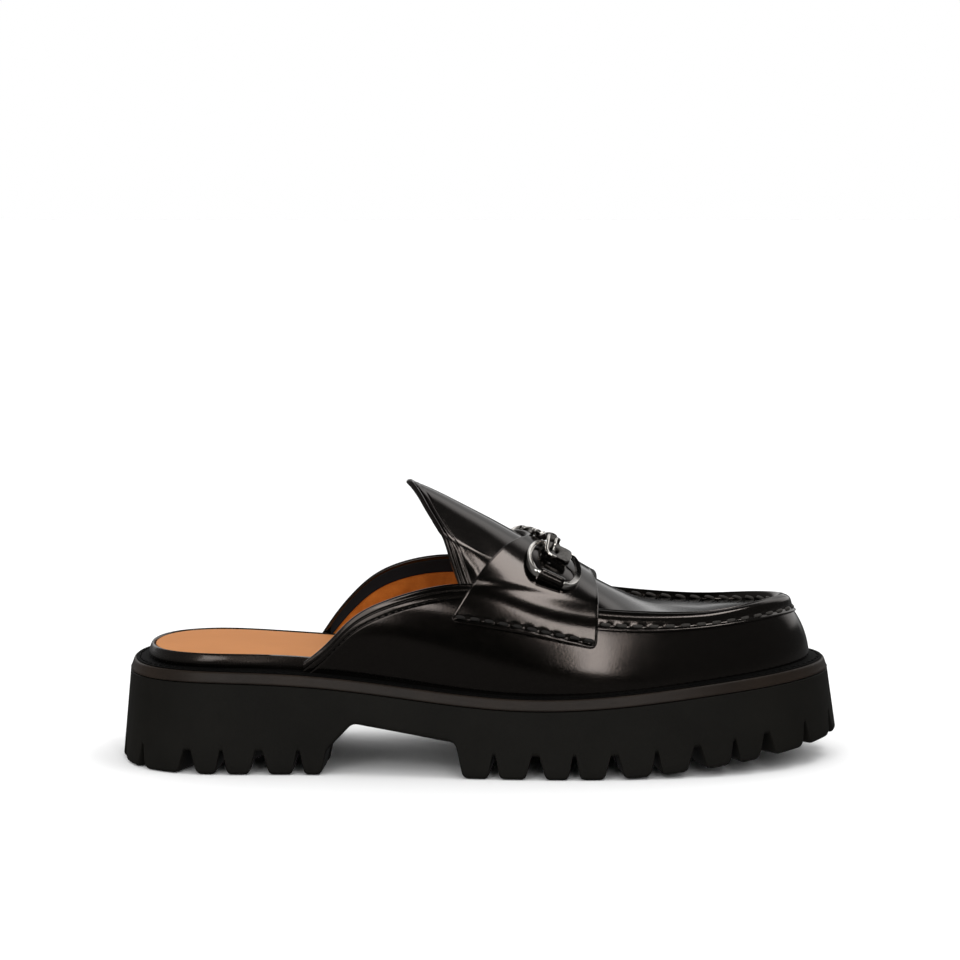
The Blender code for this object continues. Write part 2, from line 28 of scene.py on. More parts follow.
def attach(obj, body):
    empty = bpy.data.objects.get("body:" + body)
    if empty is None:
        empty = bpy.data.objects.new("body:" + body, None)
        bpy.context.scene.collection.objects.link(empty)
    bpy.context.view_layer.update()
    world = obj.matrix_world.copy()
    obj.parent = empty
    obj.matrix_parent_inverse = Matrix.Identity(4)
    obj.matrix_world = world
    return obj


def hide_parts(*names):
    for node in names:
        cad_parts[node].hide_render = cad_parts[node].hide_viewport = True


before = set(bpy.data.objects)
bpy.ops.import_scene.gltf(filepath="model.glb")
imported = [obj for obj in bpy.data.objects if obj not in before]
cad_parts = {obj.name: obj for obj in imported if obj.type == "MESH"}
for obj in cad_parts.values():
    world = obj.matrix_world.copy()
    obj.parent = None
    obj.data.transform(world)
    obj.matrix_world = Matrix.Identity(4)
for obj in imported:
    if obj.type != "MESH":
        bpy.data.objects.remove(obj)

Array = NDArray[np.float64]
Reals = Array | float
Index = NDArray[np.int64]
Rows = tuple[tuple[float, ...], ...]
Pair = tuple[float, float]
Trio = tuple[float, float, float]
Inputs = dict[str | int, Any]

MM = 0.001
ROOT = "root"
# Station step of differences, and the distances in metres under which vertices merge and faces vanish.
NUDGE = 1e-4
WELD = 2e-6
SLIVER = 1e-7
UP = np.array([0.0, 0.0, 1.0])
log = logging.getLogger("mule")


class Side(Enum):
    """The two sides of the shoe, by the sign of Y."""

    LATERAL = -1
    MEDIAL = 1


class Slot(Enum):
    """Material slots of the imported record."""

    RUBBER = "rubber"
    EDGE = "edge_leather"
    BLACK = "black_leather"
    BRUSHED = "brushed_leather"
    TAN = "tan_leather"
    STEEL = "steel"


def ramp(x: Reals, low: float, high: float) -> Array:
    """Smooth rise 3t^2 - 2t^3 with t from 0 at low to 1 at high."""
    t = np.clip((np.asarray(x, float) - low) / (high - low), 0, 1)
    return t * t * (3 - 2 * t)


def bump(x: Reals, centre: float, width: float) -> Array:
    """Bell curve of height 1 at the centre: exp of minus the squared distance in widths."""
    return np.exp(-(((np.asarray(x, float) - centre) / width) ** 2))


def stack(x: Reals, y: Reals, z: Reals) -> Array:
    """Joins coordinates into points along a last axis."""
    return np.stack(np.broadcast_arrays(x, y, z), axis=-1).astype(float)


def unit(vectors: Array) -> Array:
    """Vectors divided by their lengths."""
    size = np.linalg.norm(vectors, axis=-1, keepdims=True)
    return vectors / np.maximum(size, 1e-12)


def corner(before: Array, at: Array, after: Array, count: int) -> Array:
    """Rounded corner as the quadratic curve pulled by the corner point.

    Args:
        before: Point on the line into the corner.
        at: The corner.
        after: Point on the line out of the corner.
        count: Number of points on the curve.

    Returns:
        Points (1-t)^2 before + 2t(1-t) at + t^2 after.
    """
    t = np.linspace(0, 1, count)[:, None]
    return (1 - t) ** 2 * before + 2 * t * (1 - t) * at + t**2 * after


def run_along(line: Array, axis: int = 0) -> Array:
    """Distance travelled along lines of points, from 0 at the first point: the sum of the steps.

    Args:
        line: Points of a line, or a grid of them.
        axis: Grid direction that the lines follow.

    Returns:
        The distance at each point.
    """
    step = np.linalg.norm(np.diff(line, axis=axis), axis=-1)
    start = np.zeros_like(np.take(step, [0], axis=axis))
    return np.concatenate([start, np.cumsum(step, axis=axis)], axis=axis)


def grid_normals(points: Array) -> Array:
    """Unit normals of a grid: cross product of its column and row differences."""
    across = np.gradient(points, axis=1)
    up = np.gradient(points, axis=0)
    return unit(np.cross(across, up))


def upward_normals(points: Array, column: int) -> Array:
    """Grid normals, turned so that the one in the middle row of a column points up."""
    normal = grid_normals(points)
    return normal * np.sign(normal[len(points) // 2, column, 2])


def to_border(points: Array, axis: int = 0) -> Array:
    """Distance along one grid direction to the nearer of its two borders."""
    back = np.flip(run_along(np.flip(points, axis), axis), axis)
    return np.minimum(run_along(points, axis), back)


def sampled(at: Array, run: Array, line: Array) -> Array:
    """Columns of a line at given distances: each is interpolated against the run."""
    return np.stack([np.interp(at, run, line[:, k]) for k in range(3)], axis=-1)


def squared(way: Array, axis: Array) -> Array:
    """Unit direction of what is left of a way when its share along a unit axis is taken off."""
    return unit(way - axis * np.sum(way * axis, axis=-1, keepdims=True))


def pressed(run: Array, lines: Rows) -> Array:
    """Relief of lines along an edge: a sum of bells, each with its distance, depth and width."""
    return sum(depth * bump(run, at, width) for at, depth, width in lines)


def rounded_off(edge: Array, depth: float, radius: float) -> Array:
    """Leather missing at a rounded rim: depth times 1 - (1 - (1 - t)^2)^(1/2), t the distance in radii."""
    t = np.clip(edge / radius, 0, 1)
    return depth * (1 - np.sqrt(1 - (1 - t) ** 2))


def relax(rows: Array, share: Array, passes: int) -> None:
    """Draws each inner row, pass by pass, a share of the way to the mean of the rows beside it."""
    for _ in range(passes):
        rows[1:-1] += share * ((rows[2:] + rows[:-2]) / 2 - rows[1:-1])


class Spline:
    """Natural cubic through knots, held level past both ends."""

    def __init__(self, knots: Sequence[float], values: Sequence[float]) -> None:
        """Solves the tridiagonal system for the second derivatives.

        Args:
            knots: Rising places of the knots.
            values: Value at each knot.
        """
        self.knots = np.asarray(knots, float)
        self.values = np.asarray(values, float)
        self.step = np.diff(self.knots)
        slope = np.diff(self.values) / self.step
        inner = len(self.knots) - 2
        system = np.diag(2 * (self.step[:-1] + self.step[1:]))
        beside = np.arange(inner - 1)
        system[beside, beside + 1] = self.step[1:-1]
        system[beside + 1, beside] = self.step[1:-1]
        self.bend = np.zeros(inner + 2)
        self.bend[1:-1] = np.linalg.solve(system, 6 * np.diff(slope))

    def __call__(self, x: Reals) -> Array:
        """Value of the cubic at x."""
        x = np.clip(np.asarray(x, float), self.knots[0], self.knots[-1])
        i = np.clip(np.searchsorted(self.knots, x) - 1, 0, len(self.step) - 1)
        a = (self.knots[i + 1] - x) / self.step[i]
        b = 1 - a
        cubic = (a**3 - a) * self.bend[i] + (b**3 - b) * self.bend[i + 1]
        return a * self.values[i] + b * self.values[i + 1] + cubic * self.step[i] ** 2 / 6

    @classmethod
    def column(cls, rows: Rows, which: int) -> Spline:
        """The spline of one column of a table against its first column."""
        return cls([row[0] for row in rows], [row[which] for row in rows])

    @classmethod
    def looped(cls, knots: Sequence[float], values: Sequence[float], period: float) -> Spline:
        """A repeating spline: the knots are laid three times over and the middle turn is used."""
        turns = np.concatenate([np.asarray(knots) + period * k for k in (-1, 0, 1)])
        return cls(turns, np.tile(values, 3))


@dataclass
class Last:
    """The foot form that all pieces share, with its tables in millimetres.

    Each row starts with a rim x. After it rim gives lateral and medial y; welt_rows and crest_rows a height;
    the two edges and toe_edge the height and inset of the wall's top; pull_rows the inset and the share of
    the rise of the point that pulls the wall's curve; band_rows the depth of the seam band.
    """

    rim: Rows = (
        (-134.0, 0.0, 0.0), (-126.0, -25.5, 25.0), (-104.0, -37.0, 36.5), (-62.0, -38.6, 37.2),
        (-15.0, -44.5, 41.5), (32.0, -48.4, 47.5), (74.0, -44.6, 46.9), (108.0, -33.0, 37.9),
        (127.0, -16.5, 22.0), (133.6, 2.0, 2.0),
    )
    welt_rows: Rows = (
        (-138.0, 38.7), (-90.0, 38.3), (-56.5, 36.4), (-17.6, 32.3),
        (11.6, 29.9), (45.0, 30.5), (87.4, 34.5), (137.0, 38.4),
    )
    lateral_edge: Rows = (
        (-67.0, 41.0, 0.0), (-59.5, 47.4, 0.0), (-50.4, 57.0, 0.4), (-37.0, 64.8, 2.2),
        (-24.0, 68.9, 5.0), (-10.6, 70.9, 8.0), (5.0, 69.8, 10.6), (25.0, 65.2, 12.4),
        (45.5, 62.1, 12.8), (66.0, 60.7, 12.3), (87.0, 60.3, 10.6), (112.0, 61.7, 10.4),
    )
    toe_edge: Trio = (133.6, 61.9, 11.6)
    medial_edge: Rows = (
        (-63.4, 41.0, 0.0), (-58.4, 48.6, 0.0), (-51.0, 57.8, 0.4), (-45.0, 63.6, 1.2),
        (-31.0, 70.9, 4.0), (-13.0, 73.8, 8.0), (5.0, 71.5, 11.0), (25.0, 66.0, 13.4),
        (45.5, 62.2, 14.8), (66.0, 60.2, 15.0), (87.0, 59.2, 13.6), (112.0, 59.7, 11.2),
    )
    pull_rows: Rows = (
        (-67.0, -0.5, 0.50), (-45.0, -2.5, 0.60), (-10.0, -2.0, 0.66), (25.0, -0.5, 0.70),
        (45.0, 0.5, 0.70), (87.0, 1.0, 0.68), (133.6, 1.2, 0.62),
    )
    band_rows: Rows = ((20.0, 8.2), (45.5, 7.9), (66.0, 7.5), (87.0, 6.4), (112.0, 6.0), (133.6, 6.2))
    crest_rows: Rows = (
        (-28.0, 107.6), (-19.3, 103.9), (-3.9, 96.1), (3.9, 92.0),
        (13.6, 86.6), (28.0, 78.4), (38.9, 71.9), (46.7, 67.4),
        (56.4, 62.6), (62.2, 60.2), (74.0, 57.9), (86.0, 57.4),
        (98.0, 57.7),
    )
    gap: float = 0.3
    ledge: float = 5.5
    spine_free: float = 78.0
    spine_end: float = 100.0
    crest_free: float = 50.0
    crest_squeeze: float = 0.00552

    def __post_init__(self) -> None:
        """Makes the splines of the tables."""
        self.middle = (self.rim[0][0] + self.rim[-1][0]) / 2
        self.reach = (self.rim[-1][0] - self.rim[0][0]) / 2
        stops = [float(self.station(row[0])) for row in self.rim]
        self.rim_y = Spline.looped(
            stops + [2 - s for s in stops[-2:0:-1]],
            [row[1] for row in self.rim] + [row[2] for row in self.rim[-2:0:-1]],
            2.0,
        )
        self.welt_top = Spline.column(self.welt_rows, 1)
        self.crest = Spline.column(self.crest_rows, 1)
        self.band = Spline.column(self.band_rows, 1)
        self.pull_inset = Spline.column(self.pull_rows, 1)
        self.pull_height = Spline.column(self.pull_rows, 2)
        front = self.lateral_edge + (self.toe_edge,)
        rows = front + self.medial_edge[::-1]
        at = [float(self.station(row[0])) for row in front]
        at += [2 - float(self.station(row[0])) for row in self.medial_edge[::-1]]
        self.edge_z = Spline(at, [row[1] for row in rows])
        self.edge_inset = Spline(at, [row[2] for row in rows])

    def station(self, x: Reals) -> Array:
        """Lateral station of a rim x: the angle whose cosine is its share of the half length, over pi."""
        return np.arccos(np.clip((self.middle - np.asarray(x, float)) / self.reach, -1, 1)) / math.pi

    def station_x(self, s: Reals) -> Array:
        """Rim x of a station: the middle less the half length times the cosine of pi s."""
        return self.middle - self.reach * np.cos(math.pi * np.asarray(s, float))

    def side_station(self, x: float, side: Side) -> float:
        """Station of a rim x on one side: 2 less the lateral station on the medial side."""
        s = float(self.station(x))
        return s if side is Side.LATERAL else 2 - s

    def span(self, lateral_x: float, medial_x: float) -> Pair:
        """Stations of a stretch round the toe, from a lateral rim x to a medial one."""
        return self.side_station(lateral_x, Side.LATERAL), self.side_station(medial_x, Side.MEDIAL)

    def rim_way(self, s: Reals) -> tuple[Array, Array]:
        """Unit direction away from the shoe, in plan: the rim's central difference turned by a right angle.

        Args:
            s: Stations.

        Returns:
            Its x and y parts.
        """
        h = NUDGE
        s = np.asarray(s, float)
        dx = self.station_x(s + h) - self.station_x(s - h)
        dy = self.rim_y((s + h) % 2) - self.rim_y((s - h) % 2)
        size = np.hypot(dx, dy)
        return dy / size, -dx / size

    def outline(self, s: Reals, offset: Reals) -> tuple[Array, Array]:
        """Rim points moved outward, as x and y: the rim plus the offset times the outward way."""
        way_x, way_y = self.rim_way(s)
        s = np.asarray(s, float)
        return self.station_x(s) + offset * way_x, self.rim_y(s % 2) + offset * way_y

    def outward_way(self, s: Reals) -> Array:
        """The outward plan direction as a 3-D vector."""
        way_x, way_y = self.rim_way(s)
        return stack(way_x, way_y, 0.0)

    def spine(self, s: Reals) -> tuple[Array, Array]:
        """Middle line that flat faces close on; its ends are squeezed to stop short of heel and toe.

        Args:
            s: Stations.

        Returns:
            The line's x, and y as the mean of both rims.
        """
        away = self.station_x(s) - self.middle
        stops = [0, self.spine_free, self.reach]
        held = np.sign(away) * np.interp(np.abs(away), stops, [0, self.spine_free, self.spine_end])
        x = self.middle + held
        both = self.station(x)
        return x, (self.rim_y(both) + self.rim_y(2 - both)) / 2

    def even_stations(self, count: int, low: float = 0.0, high: float = 1.0, offset: float = 0.0) -> Array:
        """Stations from low to high, spaced evenly along the offset rim by the inverse of its run."""
        fine = np.linspace(low, high, 4001)
        run = run_along(stack(*self.outline(fine, offset), 0.0))
        return np.interp(np.linspace(0, run[-1], count), run, fine)

    def ring_stations(self, count: int) -> Array:
        """Stations all round the rim, evenly spaced, the last one left out."""
        return self.even_stations(count + 1, 0.0, 2.0)[:-1]

    def wall(self, s: Array, v: Array) -> Array:
        """Outer face of the wall: at each station a quadratic curve, pulled by one point.

        Args:
            s: Stations.
            v: 0 at the feather line, 1 at the top edge.

        Returns:
            Points of the face.
        """
        x = self.station_x(s)
        low = self.welt_top(x) + self.gap
        rise = self.edge_z(s) - low
        across = 2 * v * (1 - v) * self.pull_inset(x) + v * v * self.edge_inset(s)
        up = 2 * v * (1 - v) * self.pull_height(x) * rise + v * v * rise
        px, py = self.outline(s, -self.ledge - across)
        return stack(px, py, low + up)

    def wall_normal(self, s: Array, v: Array) -> Array:
        """Unit normal of the wall: cross product of its two central differences.

        Args:
            s: Stations.
            v: Places up the wall.

        Returns:
            Unit vectors away from the foot.
        """
        h = NUDGE
        along = self.wall(s + h, v) - self.wall(s - h, v)
        up = self.wall(s, v + h) - self.wall(s, v - h)
        return unit(np.cross(along, up))

    def height_on_wall(self, s: Array, z: Array) -> Array:
        """Place up the wall where it reaches a height: the root of its quadratic.

        Args:
            s: Stations.
            z: Heights.

        Returns:
            The v of each, from 0 to 1.
        """
        x = self.station_x(s)
        low = self.welt_top(x) + self.gap
        want = np.clip((z - low) / (self.edge_z(s) - low), 0, 1)
        b = 2 * self.pull_height(x)
        a = 1 - b
        flat = np.abs(a) < 1e-6
        root = (-b + np.sqrt(b * b + 4 * a * want)) / np.where(flat, 1, 2 * a)
        return np.where(flat, want / b, root)

    def over(self, s: Array, edge: Array, w: Array) -> Array:
        """Lines from a side edge to the crest: straight in plan, a parabola in height.

        Args:
            s: Stations, which give the place on the crest.
            edge: Points of the edge.
            w: 0 at the edge, 1 at the crest.

        Returns:
            Points of the lines.
        """
        x = self.station_x(s)
        x = x - self.crest_squeeze * np.clip(x - self.crest_free, 0, None) ** 2
        px = edge[..., 0] + (x - edge[..., 0]) * w
        py = edge[..., 1] * (1 - w)
        pz = edge[..., 2] + (self.crest(x) - edge[..., 2]) * (1 - (1 - w) ** 2)
        return stack(px, py, pz)

    def surface(self, s: Array, b: Array) -> Array:
        """The smooth last: the wall, and above its top edge the lines to the crest.

        Args:
            s: Stations.
            b: 0 to 1 up the wall, 1 to 2 over the instep.

        Returns:
            Points of the surface.
        """
        s, b = np.broadcast_arrays(np.asarray(s, float), np.asarray(b, float))
        side = self.wall(s, np.clip(b, 0, 1))
        roof = self.over(s, self.wall(s, np.ones_like(b)), np.clip(b - 1, 0, 1))
        return np.where((b > 1)[..., None], roof, side)

    def outward(self, s: Array, b: Array) -> Array:
        """Unit normal of the smooth last: cross product of its two differences.

        Args:
            s: Stations.
            b: Places up the wall and over the instep.

        Returns:
            Unit vectors away from the foot.
        """
        h = NUDGE
        along = self.surface(s + h, b) - self.surface(s - h, b)
        up = self.surface(s, np.minimum(b + h, 2)) - self.surface(s, b - h)
        return unit(np.cross(along, up))


def show(made: bpy.types.Object) -> None:
    """Adds an object to the scene."""
    bpy.context.scene.collection.objects.link(made)


@dataclass
class Sheet:
    """Vertices and faces on their way into a mesh."""

    points: Array
    quads: Index
    uv: Array | None = None

    @staticmethod
    def cells(height: int, width: int, wrap_rows: bool = False, wrap_columns: bool = False) -> Index:
        """Quads of a grid of height rows and width columns.

        Args:
            height: Number of rows.
            width: Number of columns.
            wrap_rows: Whether the last row joins the first.
            wrap_columns: Whether the last column joins the first.

        Returns:
            Four vertex numbers a quad.
        """
        j = np.arange(height if wrap_rows else height - 1)[:, None]
        i = np.arange(width if wrap_columns else width - 1)[None, :]
        up = (j + 1) % height
        right = (i + 1) % width
        corners = np.broadcast_arrays(j * width + i, j * width + right, up * width + right, up * width + i)
        return np.stack(corners, axis=-1).reshape(-1, 4)

    @classmethod
    def grid(cls, rows: Array, wrap_rows: bool = False, wrap_columns: bool = False) -> Sheet:
        """A sheet from a grid of points, row by row."""
        height, width = rows.shape[:2]
        return cls(rows.reshape(-1, 3), cls.cells(height, width, wrap_rows, wrap_columns))

    @classmethod
    def shell(cls, outer: Array, inner: Array, rims: str = "btlr") -> Sheet:
        """Two grids of one shape, joined along their borders into a closed body.

        Args:
            outer: Grid of the outer face.
            inner: Grid of the inner face.
            rims: Which borders get a rim: b and t the first and last row, l and r the columns.

        Returns:
            The closed sheet.
        """
        height, width = outer.shape[:2]
        count = height * width
        number = np.arange(count).reshape(height, width)
        face = cls.cells(height, width)
        quads = [face, face[:, ::-1] + count]
        borders = {"b": number[0, ::-1], "t": number[-1], "l": number[:, 0], "r": number[::-1, -1]}
        for name, line in borders.items():
            if name in rims:
                quads.append(np.stack([line[:-1], line[1:], line[1:] + count, line[:-1] + count], axis=-1))
        points = np.concatenate([outer.reshape(-1, 3), inner.reshape(-1, 3)])
        return cls(points, np.concatenate(quads))

    @classmethod
    def joined(cls, sheets: Sequence[Sheet]) -> Sheet:
        """Several sheets in one mesh, their vertex numbers shifted one after the other.

        Args:
            sheets: The sheets.

        Returns:
            One sheet, with a map if all have one.
        """
        starts = np.cumsum([0] + [len(sheet.points) for sheet in sheets[:-1]])
        quads = np.concatenate([sheet.quads + start for sheet, start in zip(sheets, starts)])
        uv = None
        if all(sheet.uv is not None for sheet in sheets):
            uv = np.concatenate([sheet.uv for sheet in sheets])
        return cls(np.concatenate([sheet.points for sheet in sheets]), quads, uv)

    def place(
        self,
        name: str,
        material: bpy.types.Material,
        slot: Slot,
        replaces: Sequence[str] = (),
        crease: float = 60.0,
    ) -> bpy.types.Object:
        """Makes the mesh an object that rides on the shoe.

        Args:
            name: Name of the piece.
            material: Its finish.
            slot: The record's slot that the finish stands for; not used.
            replaces: CAD nodes that it stands for.
            crease: Angle in degrees past which an edge is shaded sharp.

        Returns:
            The new object.
        """
        mesh = bpy.data.meshes.new(name)
        mesh.from_pydata((self.points * MM).tolist(), [], self.quads.tolist())
        if self.uv is not None:
            layer = mesh.uv_layers.new(name="UVMap")
            loops = np.zeros(len(mesh.loops), np.int32)
            mesh.loops.foreach_get("vertex_index", loops)
            layer.data.foreach_set("uv", self.uv[loops].astype(np.float32).ravel())
        built = bmesh.new()
        built.from_mesh(mesh)
        bmesh.ops.remove_doubles(built, verts=built.verts, dist=WELD)
        bmesh.ops.dissolve_degenerate(built, edges=built.edges, dist=SLIVER)
        bmesh.ops.recalc_face_normals(built, faces=built.faces)
        built.to_mesh(mesh)
        built.free()
        mesh.shade_smooth()
        mesh.set_sharp_from_angle(angle=math.radians(crease))
        mesh.materials.append(material)
        piece = bpy.data.objects.new(name, mesh)
        show(piece)
        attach(piece, ROOT)
        if replaces:
            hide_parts(*replaces)
        log.info("%s: %d faces", name, len(mesh.polygons))
        return piece


@dataclass(frozen=True)
class Stitch:
    """A stitch's length, half its width, the dip of its ends and its height as a share of its width."""

    length: float
    radius: float
    dip: float
    flat: float = 0.8


def stitches(spots: Array, along: Array, off: Array, size: Stitch) -> Sheet:
    """Threads that come up, lie on the leather and go down again.

    Each is a tube whose middle line is along t length/2 less dip t^2 off the leather, with t from -1 to 1,
    and whose radius is radius times (1 - t^4)^(1/2).

    Args:
        spots: Middle of each stitch.
        along: Unit direction of each stitch.
        off: Unit direction off the leather at each stitch.
        size: Measures of all of them.

    Returns:
        The sheet of all stitches, with u along and v round the thread.
    """
    sections, sides = 13, 10
    t = np.linspace(-1, 1, sections)[None, :, None, None]
    turn = np.linspace(0, 2 * math.pi, sides + 1)[None, None, :, None]
    forth = along[:, None, None, :]
    up = off[:, None, None, :]
    beside = np.cross(off, along)[:, None, None, :]
    thick = size.radius * np.sqrt(1 - t**4)
    line = spots[:, None, None, :] + forth * (t * size.length / 2) - up * (size.dip * t**2)
    tube = line + beside * (thick * np.cos(turn)) + up * (size.flat * thick * np.sin(turn))
    cells = Sheet.cells(sections, sides + 1)
    per = sections * (sides + 1)
    quads = (cells[None] + (np.arange(len(spots)) * per)[:, None, None]).reshape(-1, 4)
    u = np.broadcast_to(t * size.length / 2, tube.shape[:3] + (1,))
    v = np.broadcast_to(turn / (2 * math.pi), tube.shape[:3] + (1,))
    return Sheet(tube.reshape(-1, 3), quads, np.concatenate([u, v], axis=-1).reshape(-1, 2))


class Wire:
    """A node's output that takes part in Python expressions."""

    def __init__(self, bench: Bench, socket: bpy.types.NodeSocket) -> None:
        """Keeps the bench that adds nodes and the socket that carries the value."""
        self.bench = bench
        self.socket = socket

    def _math(self, operation: str, first: Any, second: Any) -> Wire:
        """A Math node on two values."""
        return self.bench.node("ShaderNodeMath", {"operation": operation}, {0: first, 1: second})

    def __add__(self, other: Wire | float) -> Wire:
        """Sum."""
        return self._math("ADD", self, other)

    __radd__ = __add__

    def __sub__(self, other: Wire | float) -> Wire:
        """Difference."""
        return self._math("SUBTRACT", self, other)

    def __rsub__(self, other: Wire | float) -> Wire:
        """Difference the other way round."""
        return self._math("SUBTRACT", other, self)

    def __mul__(self, other: Wire | float) -> Wire:
        """Product."""
        return self._math("MULTIPLY", self, other)

    __rmul__ = __mul__

    def between(self, low: float, high: float) -> Wire:
        """Smooth step from 0 at low to 1 at high."""
        return self.bench.node(
            "ShaderNodeMapRange",
            {"interpolation_type": "SMOOTHSTEP"},
            {"Value": self, "From Min": low, "From Max": high},
        )


class Bench:
    """Node tree of one material or world, with the one method that adds nodes."""

    def __init__(self, tree: bpy.types.NodeTree) -> None:
        """Empties the tree."""
        self.tree = tree
        tree.nodes.clear()

    def node(
        self,
        kind: str,
        settings: dict[str, Any] | None = None,
        inputs: Inputs | None = None,
        output: str | int = 0,
    ) -> Wire:
        """Adds a node.

        Args:
            kind: Blender's name of the node type.
            settings: Properties, set first.
            inputs: Value or wire of each input, by name or number.
            output: Name or number of the output to use.

        Returns:
            The wire of that output.
        """
        made = self.tree.nodes.new(kind)
        for name, value in (settings or {}).items():
            setattr(made, name, value)
        for name, value in (inputs or {}).items():
            if isinstance(value, Wire):
                self.tree.links.new(value.socket, made.inputs[name])
            else:
                made.inputs[name].default_value = value
        found = made.outputs[output] if len(made.outputs) else None
        return Wire(self, found)

    def noise(self, scale: float, detail: float) -> Wire:
        """Noise by Object coordinates, about 0.5 on average, with scale waves a metre and detail octaves."""
        place = self.node("ShaderNodeTexCoord", output="Object")
        inputs = {"Vector": place, "Scale": scale, "Detail": detail, "Roughness": 0.55}
        return self.node("ShaderNodeTexNoise", inputs=inputs)

    def mix(self, share: Wire, first: Trio, second: Trio) -> Wire:
        """Colour between two colours."""
        inputs = {0: share, 6: (*first, 1), 7: (*second, 1)}
        return self.node("ShaderNodeMix", {"data_type": "RGBA"}, inputs, 2)

    def relief(self, height: Wire, depth: float, under: Wire | None = None) -> Wire:
        """Bump from a height of 0 to 1 that stands for a depth in metres.

        Args:
            height: The height.
            depth: Depth of a full step.
            under: Normal of a coarser bump below this one.

        Returns:
            The normal.
        """
        inputs: Inputs = {"Height": height, "Distance": depth, "Strength": 1.0}
        if under is not None:
            inputs["Normal"] = under
        return self.node("ShaderNodeBump", inputs=inputs)


@dataclass(frozen=True)
class Finish:
    """What all finishes share: a name and a Principled shader."""

    name: str

    def inputs(self, bench: Bench) -> Inputs:
        """Inputs of the shader, which each kind of finish gives."""
        return {}

    def make(self) -> bpy.types.Material:
        """A new material: the shader with this finish's inputs, and the output."""
        made = bpy.data.materials.new(self.name)
        made.use_nodes = True
        bench = Bench(made.node_tree)
        shader = bench.node("ShaderNodeBsdfPrincipled", inputs=self.inputs(bench))
        bench.node("ShaderNodeOutputMaterial", inputs={"Surface": shader})
        return made


@dataclass(frozen=True)
class FloorPaint(Finish):
    """Plain pale paint of the studio floor."""

    shade: float = 0.86

    def inputs(self, bench: Bench) -> Inputs:
        """Shader inputs: one even colour."""
        colour = (self.shade, self.shade, self.shade, 1)
        return {"Base Color": colour, "Roughness": 0.9, "Specular IOR Level": 0.1}


@dataclass(frozen=True)
class PolishedLeather(Finish):
    """Brushed black hide: a glossy film over faint pores and a slow waviness."""

    deep: Trio = (0.0006, 0.0006, 0.0005)
    worn: Trio = (0.0014, 0.0013, 0.0011)
    gloss: float = 0.13
    spread: float = 0.08
    wave: float = 0.00010
    wave_scale: float = 55.0
    pore: float = 0.000022
    pore_scale: float = 1300.0
    smear_scale: float = 260.0
    tint: Trio = (1.0, 0.83, 0.73)
    coat: float = 0.35
    coat_rough: float = 0.1

    def inputs(self, bench: Bench) -> Inputs:
        """Shader inputs: two bumps, and a smear that varies colour and roughness."""
        slow = bench.noise(self.wave_scale, 1.0)
        pores = bench.noise(self.pore_scale, 3.0)
        smear = bench.noise(self.smear_scale, 4.0)
        return {
            "Base Color": bench.mix(smear, self.deep, self.worn),
            "Roughness": self.gloss + self.spread * (smear - 0.5),
            "Normal": bench.relief(pores, self.pore, bench.relief(slow, self.wave)),
            "Specular IOR Level": 0.5,
            "Specular Tint": (*self.tint, 1),
            "Coat Weight": self.coat,
            "Coat Roughness": self.coat_rough,
            "Coat IOR": 1.45,
        }


@dataclass(frozen=True)
class Grained(Finish):
    """Matte skin, as of plain leather: mottle and grain shade the colour, the grain makes the bump."""

    light: Trio
    dark: Trio
    rough: float
    spread: float = 0.16
    grain: float = 1900.0
    grain_octaves: float = 3.0
    depth: float = 0.00003
    mottle: float = 70.0
    mottle_octaves: float = 4.0
    weight: float = 0.65
    span: Pair = (0.3, 0.7)
    shine: float = 0.5
    sheen: float = 0.0

    def inputs(self, bench: Bench) -> Inputs:
        """Shader inputs: colour by the weighted sum of both noises, roughness and bump by the grain."""
        mottle = bench.noise(self.mottle, self.mottle_octaves)
        grain = bench.noise(self.grain, self.grain_octaves)
        share = (mottle * self.weight + grain * (1 - self.weight)).between(*self.span)
        return {
            "Base Color": bench.mix(share, self.dark, self.light),
            "Roughness": self.rough + self.spread * (grain - 0.5),
            "Normal": bench.relief(grain, self.depth),
            "Specular IOR Level": self.shine,
            "Sheen Weight": self.sheen,
            "Sheen Roughness": 0.5,
        }


@dataclass(frozen=True)
class Suede(Grained):
    """Napped lining: short directionless fibre and cloudy colour."""

    light: Trio = (0.52, 0.155, 0.022)
    dark: Trio = (0.31, 0.078, 0.008)
    rough: float = 0.95
    spread: float = 0.0
    grain: float = 5200.0
    grain_octaves: float = 2.0
    depth: float = 0.00008
    mottle: float = 120.0
    mottle_octaves: float = 5.0
    weight: float = 0.6
    span: Pair = (0.32, 0.68)
    shine: float = 0.15
    sheen: float = 0.08


@dataclass(frozen=True)
class MouldedRubber(Grained):
    """Matte sole compound with the fine texture of its mould and a dusty bloom."""

    light: Trio = (0.0070, 0.0064, 0.0050)
    dark: Trio = (0.0046, 0.0042, 0.0033)
    rough: float = 0.62
    spread: float = 0.2
    grain: float = 3400.0
    grain_octaves: float = 2.0
    depth: float = 0.00005
    mottle: float = 45.0
    weight: float = 0.5
    shine: float = 0.14


@dataclass(frozen=True)
class PolishedSteel(Finish):
    """Plated ornament metal with hairline polishing marks."""

    bright: Trio = (0.92, 0.89, 0.85)
    dull: Trio = (0.70, 0.66, 0.61)

    def inputs(self, bench: Bench) -> Inputs:
        """Shader inputs: marks that vary colour and roughness."""
        marks = bench.noise(900.0, 5.0)
        return {
            "Base Color": bench.mix(marks.between(0.35, 0.7), self.dull, self.bright),
            "Metallic": 1.0,
            "Roughness": 0.10 + 0.12 * (marks - 0.4),
        }


